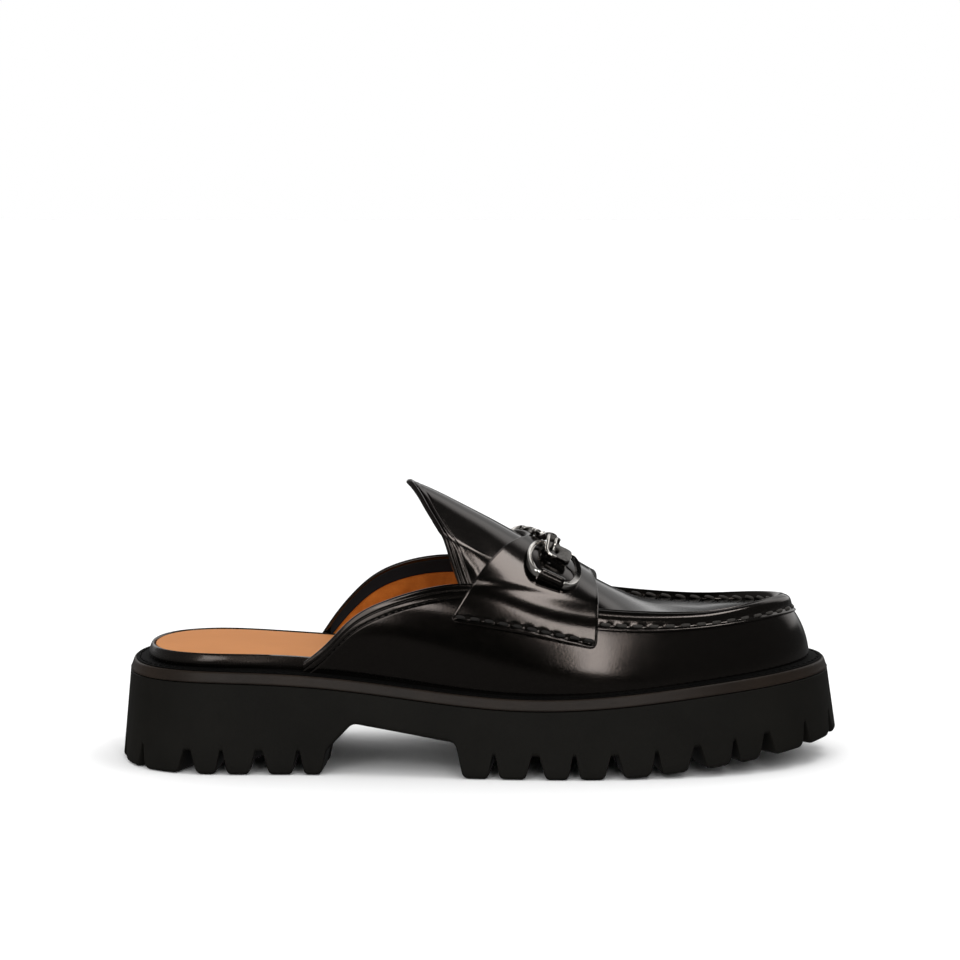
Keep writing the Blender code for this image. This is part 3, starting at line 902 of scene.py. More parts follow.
@dataclass(frozen=True)
class WaxedThread(Finish):
    """Twisted sewing thread: slanted strands by the thread's own map, with painted shade in the grooves
    between them.
    """

    # Colour of the strands' crests, and the darker colour of the grooves between them, which is painted
    # shade.
    light: Trio = (0.020, 0.018, 0.016)
    dark: Trio = (0.004, 0.004, 0.004)
    twist: float = 1.6
    strands: float = 3.0
    shine: float = 0.25

    def inputs(self, bench: Bench) -> Inputs:
        """Shader inputs: a sine of the place along and round the thread; its troughs give the grooves both
        the bump and a darker colour, which is painted shade.
        """
        spot = bench.node("ShaderNodeUVMap", {"uv_map": "UVMap"})
        along = bench.node("ShaderNodeSeparateXYZ", inputs={0: spot}, output="X")
        round_it = bench.node("ShaderNodeSeparateXYZ", inputs={0: spot}, output="Y")
        phase = (along * self.twist + round_it * self.strands) * (2 * math.pi)
        wave = bench.node("ShaderNodeMath", {"operation": "SINE"}, {0: phase}) * 0.5 + 0.5
        return {
            "Base Color": bench.mix(wave, self.dark, self.light),
            "Roughness": 0.6 - 0.15 * wave,
            "Normal": bench.relief(wave, 0.00012),
            "Specular IOR Level": self.shine,
        }


class Finishes:
    """All materials of the shoe."""

    def __init__(self) -> None:
        """Makes each finish once."""
        self.hide = PolishedLeather("brushed hide").make()
        self.wrap = PolishedLeather("wrapped hide", gloss=0.27).make()
        self.edge = Grained(
            "dyed welt edge",
            light=(0.0160, 0.0108, 0.0074),
            dark=(0.0092, 0.0064, 0.0046),
            rough=0.4,
            grain=2800.0,
            depth=0.00005,
            mottle=60.0,
            shine=0.22,
        ).make()
        self.strip = Grained(
            "welt strip", light=(0.0024, 0.0022, 0.002), dark=(0.001, 0.001, 0.001), rough=0.7, shine=0.06
        ).make()
        self.tan = Grained(
            "tan sock",
            light=(0.455, 0.178, 0.050),
            dark=(0.415, 0.160, 0.043),
            rough=0.6,
            grain=2400.0,
            depth=0.00002,
            mottle=38.0,
            shine=0.15,
        ).make()
        self.suede = Suede("suede lining").make()
        self.rubber = MouldedRubber("moulded rubber").make()
        self.facing = Grained(
            "matte facing",
            light=(0.0100, 0.0115, 0.0135),
            dark=(0.0070, 0.0080, 0.0095),
            rough=0.6,
            grain=2400.0,
            mottle=60.0,
            shine=0.1,
        ).make()
        self.steel = PolishedSteel("plated steel").make()
        self.nickel = PolishedSteel(
            "black nickel", bright=(0.115, 0.108, 0.100), dull=(0.070, 0.065, 0.060)
        ).make()
        self.thread = WaxedThread("waxed thread").make()
        # Painted highlight: a lighter copy of the thread for the seam's stitches, standing in for the light
        # that they catch.
        self.cord = WaxedThread(
            "seam cord", light=(0.040, 0.035, 0.030), dark=(0.010, 0.009, 0.008), shine=0.5
        ).make()
        # Painted shade: a darker copy of the thread for the collar's and the welt's stitches, standing in
        # for the shade they lie in.
        self.dull = WaxedThread(
            "dull thread", light=(0.0022, 0.0021, 0.0020), dark=(0.0008, 0.0008, 0.0008), shine=0.06
        ).make()


@dataclass
class SoleUnit:
    """Lug sole, welt with its strip and stitches, footbed and sock.

    Rows of flare_rows give x and the side's lean, those of arch_rows x and lift. Narrow and wide are a
    groove's width at the mouth and at the roof. Other pairs are the x where a change starts and ends.
    """

    last: Last
    finishes: Finishes
    welt_thick: float = 4.0
    welt_bevel: float = 1.4
    lap: float = 16.0
    groove_depth: float = 8.7
    edge_round: float = 1.4
    top_ease: float = 0.25
    top_land: float = 3.0
    lug_length: float = 14.0
    lug_ease: float = 0.5
    tread_edge: float = 5.0
    tread_run: float = 4.0
    channel: float = 3.0
    channel_draft: float = 1.0
    spring_start: float = 46.0
    spring_end: float = 131.0
    spring_rise: float = 9.4
    spring_power: float = 1.42
    foot_lead: float = 1.9
    roof_lead: float = 0.45
    arch_lead: float = 2.2
    arch_run: float = 6.0
    stitch_pitch: float = 3.5
    stitch_line: float = -2.2
    stitch_seat: float = 0.52
    stitch: Stitch = Stitch(length=2.7, radius=0.42, dip=0.35)
    bed_thick: float = 4.1
    bed_span: Pair = (-108.0, -67.5)
    rim_press: float = 0.6
    press_from: Pair = (-92.0, -76.0)
    press_to: Pair = (-60.0, -50.0)
    rim_width: float = 1.3
    sock_thick: float = 0.8
    inset_heel: float = 5.7
    inset_front: float = 8.6
    sock_margin: float = 2.6
    flare_rows: Rows = ((-134.0, 4.6), (-70.0, 3.7), (60.0, 3.7), (133.6, 5.0))
    arch_rows: Rows = ((-59.6, 0.0), (-58.0, 8.7), (-48.0, 19.5), (-28.0, 16.3), (-9.1, 13.2), (-6.1, 0.0))
    narrow: Pair = (4.6, 1.0)
    wide: Pair = (7.6, 2.6)
    wide_at: tuple[float, ...] = (-132.9, -109.8, -83.4, 20.9, 50.2, 80.9, 107.0)
    narrow_at: tuple[float, ...] = (-125.8, -97.4, -68.5, 5.4, 35.3, 65.8, 94.9, 121.6, 131.2, 133.6)

    def __post_init__(self) -> None:
        """Makes the spline of the side's lean."""
        self.side_flare = Spline.column(self.flare_rows, 1)

    def spring(self, x: Array) -> Array:
        """Height of the tread line: a power of the share of the way to the toe."""
        share = np.clip((x - self.spring_start) / (self.spring_end - self.spring_start), 0, None)
        return self.spring_rise * share**self.spring_power

    def groove(self, x: float, widths: Pair) -> Array:
        """Station and lift of one groove across its width.

        Two straight flanks lean from the mouth's width to the roof's, with both corners rounded.

        Args:
            x: Rim x of the groove's middle.
            widths: Width at the mouth and at the roof.

        Returns:
            Rows of station and lift.
        """
        last = self.last
        s = float(last.station(x))
        flare = float(self.side_flare(x))
        h = NUDGE
        ahead = np.array(last.outline(s + h, flare)) - np.array(last.outline(s - h, flare))
        speed = np.linalg.norm(ahead) / (2 * h)
        foot = np.array([widths[0] / 2, 0.0])
        crown = np.array([widths[1] / 2, self.groove_depth])
        up = unit(crown - foot)
        low = corner(foot + [self.foot_lead, 0.0], foot, foot + up * self.foot_lead, 7)
        top = corner(crown - up * self.roof_lead, crown, crown - [self.roof_lead, 0.0], 4)
        half = np.concatenate([low, top])
        whole = np.concatenate([half * [-1, 1], half[::-1]])
        return np.stack([s + whole[:, 0] / speed, whole[:, 1]], axis=-1)

    def arch(self) -> Array:
        """Station and lift of the arch tunnel: its straight runs with rounded corners."""
        rows = np.array(self.arch_rows)
        run = [self.arch_run, 0.0]
        rows = np.concatenate([rows[:1] - run, rows, rows[-1:] + run])
        into = unit(np.diff(rows, axis=0))
        turned = [
            corner(rows[i] - into[i - 1] * self.arch_lead, rows[i], rows[i] + into[i] * self.arch_lead, 6)
            for i in range(1, len(rows) - 1)
        ]
        line = np.concatenate(turned)
        return np.stack([self.last.station(line[:, 0]), line[:, 1]], axis=-1)

    def columns(self) -> tuple[Array, Array]:
        """Stations all round the sole and the lift of the tread at each."""
        places = [self.groove(x, self.wide) for x in self.wide_at]
        places += [self.groove(x, self.narrow) for x in self.narrow_at]
        places.append(self.arch())
        known = np.concatenate(places)
        known = known[known[:, 0] < 1]
        known = np.concatenate([[[0.0, 0.0]], known, [[1.0, self.groove_depth]]])
        known = known[np.argsort(known[:, 0])]
        s = np.concatenate([known[:, 0], self.last.even_stations(170)])
        s = np.unique(np.round(s, 6))
        lift = np.interp(s, known[:, 0], known[:, 1])
        return np.concatenate([s, 2 - s[-2:0:-1]]), np.concatenate([lift, lift[-2:0:-1]])

    def lug_sole(self) -> Sheet:
        """Rings of points from the middle of the top, down the side, round the lugs and in below."""
        last = self.last
        s, lift = self.columns()
        x = last.station_x(s)
        low = self.spring(x) + lift
        top = last.welt_top(x) - self.welt_thick - last.gap
        full = self.side_flare(x)

        def lean(z: Array) -> Array:
            """Outward offset of the side at a height: linear from the welt to the tread."""
            return self.welt_bevel + (full - self.welt_bevel) * (top - z) / (top - self.spring(x))

        def ring(offset: Reals, lifted: Array) -> Array:
            """A ring on the tread at an offset from the rim."""
            px, py = last.outline(s, offset)
            return stack(px, py, self.spring(px) + lifted)

        roof = np.maximum(lift, self.groove_depth)
        spine_x, spine_y = last.spine(s)
        rows = [stack(spine_x, spine_y, last.welt_top(spine_x) - self.welt_thick - last.gap)]
        rows.append(stack(*last.outline(s, self.welt_bevel - self.top_land), top))
        rows.append(stack(*last.outline(s, self.welt_bevel - self.top_ease), top))
        start = top - self.top_ease
        stop = low + self.edge_round
        for share in np.linspace(0, 1, 12):
            z = start + (stop - start) * share
            rows.append(stack(*last.outline(s, lean(z)), z))
        edge = lean(stop)
        for angle in np.linspace(0, math.pi / 2, 6)[1:]:
            inset = self.edge_round * (1 - math.cos(angle))
            rows.append(stack(*last.outline(s, edge - inset), stop - self.edge_round * math.sin(angle)))
        lug_end = -self.lug_length
        channel_start = lug_end - self.channel_draft
        channel_end = channel_start - self.channel
        inner_tread = channel_end - self.channel_draft
        tread = (
            (edge - self.tread_edge, lift),
            (lug_end + self.lug_ease, lift),
            (lug_end, lift + self.lug_ease * (roof > lift)),
            (channel_start, roof),
            (channel_end, roof),
            (inner_tread, lift),
            (inner_tread - self.tread_run, lift),
        )
        rows += [ring(offset, lifted) for offset, lifted in tread]
        rows.append(stack(spine_x, spine_y, self.spring(spine_x) + lift))
        return Sheet.grid(np.stack(rows), wrap_columns=True)

    def carried(self, profile: Rows, count: int) -> Sheet:
        """A closed profile carried round the rim.

        Args:
            profile: Offset from the rim and height above the welt's top, going round the section.
            count: Number of stations.

        Returns:
            The closed ring.
        """
        last = self.last
        s = last.ring_stations(count)[None, :]
        shape = np.array(profile)
        px, py = last.outline(s, shape[:, :1])
        z = last.welt_top(last.station_x(s)) + shape[:, 1:]
        return Sheet.grid(stack(px, py, z), wrap_rows=True, wrap_columns=True)

    def welt(self) -> Sheet:
        """The dyed layer: bevelled side with eased edges, flat below and above."""
        thick = self.welt_thick
        bevel = self.welt_bevel
        profile = (
            (-self.lap, -thick),
            (bevel - 0.35, -thick),
            (bevel - 0.08, -thick + 0.1),
            (bevel, -thick + 0.4),
            *((bevel * share, -thick * share) for share in (0.75, 0.5, 0.25)),
            (0.12, -0.45), (-0.06, -0.16), (-0.4, -0.02), (-0.9, 0.0),
            (-self.lap, 0.0),
        )
        return self.carried(profile, 420)

    def welt_strip(self) -> Sheet:
        """The black strip on the ledge, with a pressed line for the stitches."""
        profile = (
            (-self.lap, 0.02), (-0.75, 0.02), (-0.62, 0.2), (-0.75, 0.42),
            (-1.1, 0.55), (-1.5, 0.5), (-1.8, 0.34), (-2.2, 0.28),
            (-2.6, 0.34), (-2.9, 0.5), (-3.3, 0.56), (-self.lap, 0.56),
        )
        return self.carried(profile, 420)

    def welt_stitches(self) -> Sheet:
        """Short even stitches along the pressed line."""
        last = self.last
        fine = np.linspace(0, 2, 6001)
        run = run_along(stack(*last.outline(fine, self.stitch_line), 0.0))
        count = int(run[-1] / self.stitch_pitch)
        s = np.interp((np.arange(count) + 0.5) * run[-1] / count, run, fine)
        seat = last.welt_top(last.station_x(s)) + self.stitch_seat
        way = last.outward_way(s)
        up = np.broadcast_to(UP, way.shape)
        spots = stack(*last.outline(s, self.stitch_line), seat)
        return stitches(spots, np.cross(way, UP), up, self.stitch)

    def bed_inset(self, s: Array) -> Array:
        """Distance from rim to footbed: more where the upper stands outside it."""
        grown = ramp(self.last.station_x(s), *self.bed_span)
        return self.inset_heel + (self.inset_front - self.inset_heel) * grown

    def board(self, profile: Rows, floor: float, count: int) -> Sheet:
        """A flat-topped board with a shaped edge, closed on the middle line.

        Where the wings start, the slanted outer rim is pressed upright: its insets shrink by a share.

        Args:
            profile: Inset from the footbed's edge and height above the floor, from the top's inside down.
            floor: Height of the board's underside above the welt's top.
            count: Number of stations.

        Returns:
            The closed board.
        """
        last = self.last
        s = last.ring_stations(count)
        spine_x, spine_y = last.spine(s)
        x = last.station_x(s)
        upright = self.rim_press * ramp(x, *self.press_from) * (1 - ramp(x, *self.press_to))
        rows = [stack(spine_x, spine_y, last.welt_top(spine_x) + floor + profile[0][1])]
        for inset, height in profile:
            inset = inset * (1 - upright) if inset < self.rim_width else inset
            px, py = last.outline(s, -self.bed_inset(s) - inset)
            rows.append(stack(px, py, last.welt_top(px) + floor + height))
        rows.append(stack(spine_x, spine_y, last.welt_top(spine_x) + floor + profile[-1][1]))
        return Sheet.grid(np.stack(rows), wrap_columns=True)

    def footbed(self) -> Sheet:
        """The wrapped board: a padded rim round the sock, slanted outside, and a tucked lower edge."""
        t = self.bed_thick
        profile = (
            (self.lap, t),
            (6.0, t), (2.5, t), (2.32, t + 0.12), (2.22, t + 0.5),
            (2.1, t + 0.9), (1.95, t + 1.2), (1.7, t + 1.37), (1.42, t + 1.38),
            (1.16, t + 1.22), (0.96, t + 0.92), (0.77, t + 0.5), (0.58, t + 0.06),
            (0.4, t - 0.38), (0.22, t - 0.84), (0.08, t - 1.32), (0.0, t - 1.9),
            (0.02, t - 2.6), (0.15, t - 3.3), (0.6, 0.0), (self.lap, 0.0),
        )
        return self.board(profile, self.last.gap, 360)

    def sock(self) -> Sheet:
        """The tan sock: thin, flat and soft-edged."""
        m = self.sock_margin
        t = self.sock_thick
        profile = (
            (m + 12.0, t), (m + 6.0, t), (m + 3.0, t), (m + 0.8, t),
            (m + 0.35, t - 0.06), (m + 0.1, t - 0.22), (m, t - 0.45), (m + 0.05, 0.0),
            (m + 12.0, 0.0),
        )
        return self.board(profile, 2 * self.last.gap + self.bed_thick, 360)

    def build(self) -> None:
        """Builds and dresses the pieces of the sole."""
        finishes = self.finishes
        self.lug_sole().place("lug_sole", finishes.rubber, Slot.RUBBER, ["outsole"], 38.0)
        self.welt().place("welt", finishes.edge, Slot.EDGE, ["welt_midsole"])
        self.welt_strip().place("welt_strip", finishes.strip, Slot.BLACK)
        self.welt_stitches().place("welt_stitches", finishes.dull, Slot.BLACK)
        self.footbed().place("footbed_wrap", finishes.wrap, Slot.BLACK, ["footbed"])
        self.sock().place("sock", finishes.tan, Slot.TAN, ["insole"])


@dataclass
class Vamp:
    """Wall with both wings, hand-sewn band, apron, tongue, lining and their stitches.

    Rows of lines, and the crease, give distance, relief and width. Rows of facing_rows give the drop below
    the topline and the depth under the last, those of band_profile, and front_seat, the share down the band
    and the push outward. A span is a lateral and a medial x, or the x where a change starts and ends.
    """

    last: Last
    finishes: Finishes
    thick: float = 1.9
    leather: float = 1.2
    lip_width: float = 2.4
    lip_drop: float = 2.4
    lip_power: float = 1.7
    lip_rows: int = 4
    roll_rise: float = 0.45
    collar_crown: float = 0.35
    collar_lines: Rows = ((2.1, 0.32, 0.38), (4.9, 0.30, 0.42))
    collar_spans: Rows = ((-60.0, -12.0), (-10.0, -58.0))
    collar_pitch: float = 2.7
    collar_sink: float = 0.22
    collar_stitch: Stitch = Stitch(length=2.0, radius=0.26, dip=0.22)
    crown: float = 0.9
    crown_span: Pair = (86.0, 126.0)
    fullness: float = 0.4
    fullness_span: Pair = (98.0, 128.0)
    facing: float = 4.6
    facing_span: Pair = (-63.0, -59.8)
    facing_under: float = 1.6
    facing_rows: Rows = ((6.4, 1.85), (6.3, 2.1), (6.1, 2.25), (0.7, 2.25))
    lining_span: Pair = (-65.0, -61.4)
    lining_share: float = 0.92
    lining_drop: float = 4.0
    lining_drop_span: Pair = (8.0, 22.0)
    lining_faces: Pair = (1.3, 1.8)
    seam_from: float = 20.0
    raise_span: Pair = (40.0, 43.2)
    pitch: float = 6.1
    trough: float = 0.66
    dimple: float = 0.22
    stitch_from: float = 45.0
    stitch_step: float = 2e-3
    front_seat: Pair = (0.68, 0.86)
    front_stitch: Stitch = Stitch(length=4.2, radius=0.68, dip=0.6)
    back_inset: float = 0.35
    back_drop: float = 1.15
    back_slant: float = 0.22
    back_stitch: Stitch = Stitch(length=4.4, radius=0.62, dip=0.5)
    apron_from: float = 30.0
    apron_thick: float = 1.4
    apron_margin: float = -0.08
    apron_level: float = 0.05
    toe_columns: int = 14
    patch: Pair = (4.0, 12.0)
    tongue_thick: float = 2.0
    tongue_tip: float = -28.0
    tongue_base: float = -9.5
    tongue_taper: float = 1.25
    tongue_front: float = 34.0
    tongue_run: float = 45.0
    near_edge: tuple[float, ...] = (
        *(0.0, 0.1, 0.25, 0.45, 0.7, 1.0, 1.3, 1.6, 1.9, 2.1),
        *(2.3, 2.6, 3.0, 3.4, 3.8, 4.1, 4.4, 4.6, 4.8, 5.1),
    )
    tongue_lines: Rows = ((2.0, 0.32, 0.36), (4.6, 0.14, 0.38), (1.05, -0.2, 0.5))
    wing_x: float = -9.6
    tuck: float = 3.0
    tuck_fall: float = 0.08
    ridge: float = 0.24
    ridge_fall: float = 0.0066
    ridge_limits: Pair = (0.1, 0.3)
    facet: float = 0.82
    facet_span: Pair = (-6.0, 14.0)
    crease: Trio = (-1.0, 0.22, 1.8)
    crease_at: Pair = (-8.1, 0.2)
    crease_way: Pair = (6.2, -5.5)
    crease_scale: float = 50.0
    columns: int = 520
    band_profile: Rows = (
        (0.0, 0.75), (0.04, 1.25), (0.10, 1.58), (0.18, 1.70),
        (0.30, 1.58), (0.40, 1.40), (0.50, 1.18), (0.58, 0.92),
        (0.66, 0.68), (0.72, 0.60), (0.78, 0.72), (0.83, 0.95),
        (0.88, 1.04), (0.93, 0.88), (0.97, 0.50), (1.0, 0.0),
    )

    def __post_init__(self) -> None:
        """Makes the band's profile and measures the seam from the toe's tip."""
        self.band_out = Spline.column(self.band_profile, 1)
        last = self.last
        fine = np.linspace(*last.span(self.seam_from, self.seam_from), 4001)
        drop = self.trough * last.band(last.station_x(fine))
        line = last.wall(fine, last.height_on_wall(fine, last.edge_z(fine) - drop))
        run = run_along(line)
        self.seam_s = fine
        self.seam_run = run - np.interp(1.0, fine, run)

    def raised(self, s: Array) -> Array:
        """Share of the raised seam: none in the wings, full before the strap's front edge."""
        return ramp(self.last.station_x(s), *self.raise_span)

    def wall_stations(self) -> Array:
        """Stations from the lateral wing's end round the toe to the medial one's."""
        last = self.last
        span = last.span(last.lateral_edge[0][0], last.medial_edge[0][0])
        return last.even_stations(self.columns, *span, -last.ledge)

    def outer_rows(self, s: Array) -> tuple[Array, Array]:
        """Outside of the wall from the feather line to the top, seam relief included.

        Below the band the wall is the last itself. In the band it is pushed outward by the band's profile,
        less a dimple of (1 + cos(2 pi run / pitch)) / 2 between stitches. At the toe it is lifted a little.

        Args:
            s: Stations.

        Returns:
            Points by row and station, and the v of each.
        """
        last = self.last
        drop = last.band(last.station_x(s))
        seam = last.height_on_wall(s, last.edge_z(s) - drop)
        top = last.height_on_wall(s, last.edge_z(s) - self.roll_rise)
        lower = np.linspace(0, 1, 26)[:-1, None] * seam
        f = 1 - np.linspace(0, 1, 40) ** 0.9
        height = last.edge_z(s) - self.roll_rise - f[:, None] * (drop - self.roll_rise)
        upper = last.height_on_wall(s[None, :], height)
        upper = np.where(f[:, None] == 0, top, upper)
        v = np.concatenate([lower, upper])
        share = np.concatenate([np.ones(len(lower)), f])[:, None]
        raised = self.raised(s)
        run = np.interp(s, self.seam_s, self.seam_run)
        between = 0.5 + 0.5 * np.cos(2 * math.pi * run / self.pitch)
        pinch = self.dimple * between * bump(share, self.trough, 0.13)
        fuller = self.fullness * ramp(last.station_x(s), *self.fullness_span) * bump(share, 0.2, 0.25)
        push = (self.band_out(share) + fuller - pinch) * raised
        lift = self.crown * ramp(last.station_x(s), *self.crown_span) * (1 - ramp(share, 0.0, 0.6))
        points = last.wall(s, v) + last.outward_way(s) * push[..., None]
        return points + stack(0.0, 0.0, lift), v

    def wall(self) -> Sheet:
        """One closed section a station: up the outside, over the lip or collar, down the inside.

        Pressed lines follow the topline on the wings. Lip and collar are half an ellipse across.
        """
        last = self.last
        s = self.wall_stations()
        points, v = self.outer_rows(s)
        normal = last.wall_normal(s, v)
        raised = self.raised(s)
        depth = run_along(points[::-1])[::-1]
        lines = pressed(depth, self.collar_lines) * (1 - raised)
        outer = points - normal * lines[..., None]
        way = last.outward_way(s)
        width = self.thick + (self.lip_width - self.thick) * raised
        drop = self.lip_drop * raised
        crown = self.collar_crown * (1 - raised)
        rolls = []
        for angle in np.linspace(0, math.pi, 10)[1:]:
            share = (1 - math.cos(angle)) / 2
            inset = width * share
            up = (self.roll_rise + crown) * math.sin(angle) - drop * share**self.lip_power
            rolls.append(outer[-1] - way * inset[:, None] + stack(0.0, 0.0, up))
        faced = 1 - ramp(depth, self.facing, self.facing + 0.5)
        inside = self.leather + (self.thick - self.leather) * faced
        inside = inside + (self.lip_width - self.thick) * raised * (1 - ramp(depth, 1.5, 5.0))
        inner = last.wall(s, v) - normal * inside[..., None]
        rows = np.concatenate([outer, np.stack(rolls), inner[: -self.lip_rows][::-1]])
        middle = last.wall(s, v) - normal * (self.leather / 2)
        over = np.repeat(middle[-1:], len(rolls), axis=0)
        ends = np.concatenate([middle, over, middle[: -self.lip_rows][::-1]])
        rows = np.concatenate([ends[:, :1], rows, ends[:, -1:]], axis=1)
        return Sheet.grid(rows, wrap_rows=True)

    def lining(self) -> Sheet:
        """Suede inside the wall, from the feather line up under the black facing and the apron."""
        last = self.last
        s = last.even_stations(240, *last.span(*self.lining_span), -last.ledge)
        deeper = self.lining_drop * ramp(last.station_x(s), *self.lining_drop_span)
        below = self.facing * self.lining_share + deeper
        top = last.height_on_wall(s, last.edge_z(s) - below)
        v = np.linspace(0.02, 1, 30)[:, None] * top
        face = last.wall(s, v)
        normal = last.wall_normal(s, v)
        outer, inner = (face - normal * depth for depth in self.lining_faces)
        return Sheet.shell(outer, inner)

    def collar_facing(self) -> Sheet:
        """Matte black turning inside the topline, lapped over the top of the suede."""
        last = self.last
        s = last.even_stations(300, *last.span(*self.facing_span), -last.ledge)
        rows = np.array(self.facing_rows)
        rows = np.concatenate([rows[:2], np.linspace(rows[2], rows[3], 9)])
        lowest = last.welt_top(last.station_x(s)) + 1.0
        v = last.height_on_wall(s[None, :], np.maximum(last.edge_z(s) - rows[:, :1], lowest))
        face = last.wall(s, v)
        normal = last.wall_normal(s, v)
        return Sheet.shell(face - normal * self.facing_under, face - normal * rows[:, 1:, None])

    def seam_spots(self, share: float) -> Array:
        """Stations of the seam's stitches: half a pitch from the toe's tip and then every pitch.

        Args:
            share: Share of a pitch by which all are shifted.

        Returns:
            The stations.
        """
        start = float(self.last.station(self.stitch_from))
        reach = float(np.interp(start, self.seam_s, self.seam_run))
        count = int(-reach / self.pitch)
        run = (np.arange(-count, count) + 0.5 + share) * self.pitch
        return np.interp(run, self.seam_run, self.seam_s)

    def seam_point(self, s: Array, f: float, push: float) -> Array:
        """Points on the band.

        Args:
            s: Stations.
            f: Share of the way down the band.
            push: Distance outward from the last.

        Returns:
            The points.
        """
        last = self.last
        drop = self.roll_rise + f * (last.band(last.station_x(s)) - self.roll_rise)
        spot = last.wall(s, last.height_on_wall(s, last.edge_z(s) - drop))
        return spot + last.outward_way(s) * push

    def seam_way(self, s: Array, f: float, push: float) -> Array:
        """Unit direction along the band: the difference of its points a step before and after."""
        h = self.stitch_step
        return unit(self.seam_point(s + h, f, push) - self.seam_point(s - h, f, push))

    def seam_stitches(self) -> Sheet:
        """Thick hand stitches in the trough of the band, and their slanted backs inside the lip."""
        last = self.last
        s = self.seam_spots(0.0)
        along = self.seam_way(s, *self.front_seat)
        off = squared(unit(last.outward_way(s) + 0.25 * UP), along)
        front = stitches(self.seam_point(s, *self.front_seat), along, off, self.front_stitch)
        s = self.seam_spots(0.5)
        back_seat = (0.0, self.back_inset - self.lip_width)
        along = unit(self.seam_way(s, *back_seat) + self.back_slant * UP)
        off = squared(unit(0.7 * UP - 0.9 * last.outward_way(s)), along)
        spots = self.seam_point(s, *back_seat) - self.back_drop * UP
        return Sheet.joined([front, stitches(spots, along, off, self.back_stitch)])

    def collar_stitches(self) -> Sheet:
        """Fine stitches in the lower pressed line of both wings."""
        last = self.last
        sets = []
        for side, ends in zip(Side, self.collar_spans):
            fine = np.linspace(*(last.side_station(x, side) for x in ends), 1200)
            v = last.height_on_wall(fine, last.edge_z(fine) - self.collar_lines[1][0])
            normal = last.wall_normal(fine, v)
            line = last.wall(fine, v) - normal * self.collar_sink
            run = run_along(line)
            at = np.arange(1.0, run[-1] - 1.0, self.collar_pitch)
            off = unit(sampled(at, run, normal))
            along = unit(sampled(at, run, np.gradient(line, axis=0)))
            sets.append(stitches(sampled(at, run, line), along, off, self.collar_stitch))
        return Sheet.joined(sets)

    def apron(self) -> Sheet:
        """The plug inside the lip: lines over the instep from the lateral lip to the medial one.

        Both halves meet on the toe's middle line, where each point is drawn to the mean of its neighbours.
        Outside the lip's inner line a level margin runs on into the lip and closes the seam.
        """
        last = self.last
        half = last.even_stations(150, float(last.station(self.apron_from)), 1.0)
        w = np.concatenate([np.linspace(self.apron_margin, 0.1, 15)[:-1], np.linspace(0.1, 1, 34)])
        sides = []
        for s in (half, 2 - half):
            raised = self.raised(s)
            inset = -last.ledge - last.edge_inset(s) - self.lip_width * raised
            px, py = last.outline(s, inset)
            edge = last.wall(s, np.ones_like(s))
            base = stack(px, py, edge[:, 2] - self.lip_drop * raised)
            roof = last.over(s[None, :], base[None, :], w[:, None])
            roof[w < 0, :, 2] = np.maximum(roof[w < 0, :, 2], base[:, 2] + self.apron_level)
            sides.append(roof)
        toe = self.toe_columns
        strip = np.concatenate([sides[0][:, -toe:], sides[1][:, -2 : -toe - 1 : -1]], axis=1)
        relax(strip.swapaxes(0, 1), 0.5 * ramp(w, 0.06, 0.2)[None, :, None], 60)
        sides[0][:, -toe:] = strip[:, :toe]
        sides[1][:, -toe:] = strip[:, : toe - 2 : -1]
        rows = np.concatenate([sides[0], sides[1][-2::-1]])
        self.smooth_crest_end(rows, rows[len(w) - 1, -1].copy())
        normal = upward_normals(rows, 10)
        normal[:, -1] = unit(normal[:, -2] + normal[::-1, -2])
        return Sheet.shell(rows, rows - normal * self.apron_thick, rims="btl")

    def smooth_crest_end(self, rows: Array, centre: Array) -> None:
        """Blends heights round a point into the quadratic in x and y that fits them best.

        Args:
            rows: Grid of points, changed in place.
            centre: The point.
        """
        dx = rows[..., 0] - centre[0]
        dy = rows[..., 1] - centre[1]
        away = np.hypot(dx, dy)
        basis = np.stack([np.ones_like(dx), dx, dy, dx * dx, dx * dy, dy * dy], axis=-1)
        close = away < self.patch[1]
        fit = np.linalg.lstsq(basis[close], rows[..., 2][close], rcond=None)[0]
        rows[..., 2] += (1 - ramp(away, *self.patch)) * (basis @ fit - rows[..., 2])

    def bent(self, w: Array) -> Array:
        """How far the tongue stands over the smooth last, as a share of the instep's rise.

        The slope follows the parabola's down to the facet's slope, keeps that as far as the ridge and then
        takes the one steeper slope that ends on the same edge. The share is the sum of the slope over w,
        less 1 - (1 - w)^2.

        Args:
            w: Share of the way from the side edge to the crest.

        Returns:
            The share at each w.
        """
        fine = np.linspace(0, 1, 801)
        held = np.minimum(2 * (1 - fine), self.facet)
        above = ramp(fine, self.ridge - 0.04, self.ridge + 0.04)
        done = np.sum(held * above) * (fine[1] - fine[0])
        steep = (1 - done) / (np.sum(1 - above) * (fine[1] - fine[0]))
        slope = held * above + steep * (1 - above)
        height = np.cumsum(slope) * (fine[1] - fine[0])
        return np.interp(w, fine, (height - (1 - (1 - fine) ** 2)) * np.sin(math.pi * fine) ** 0.25)

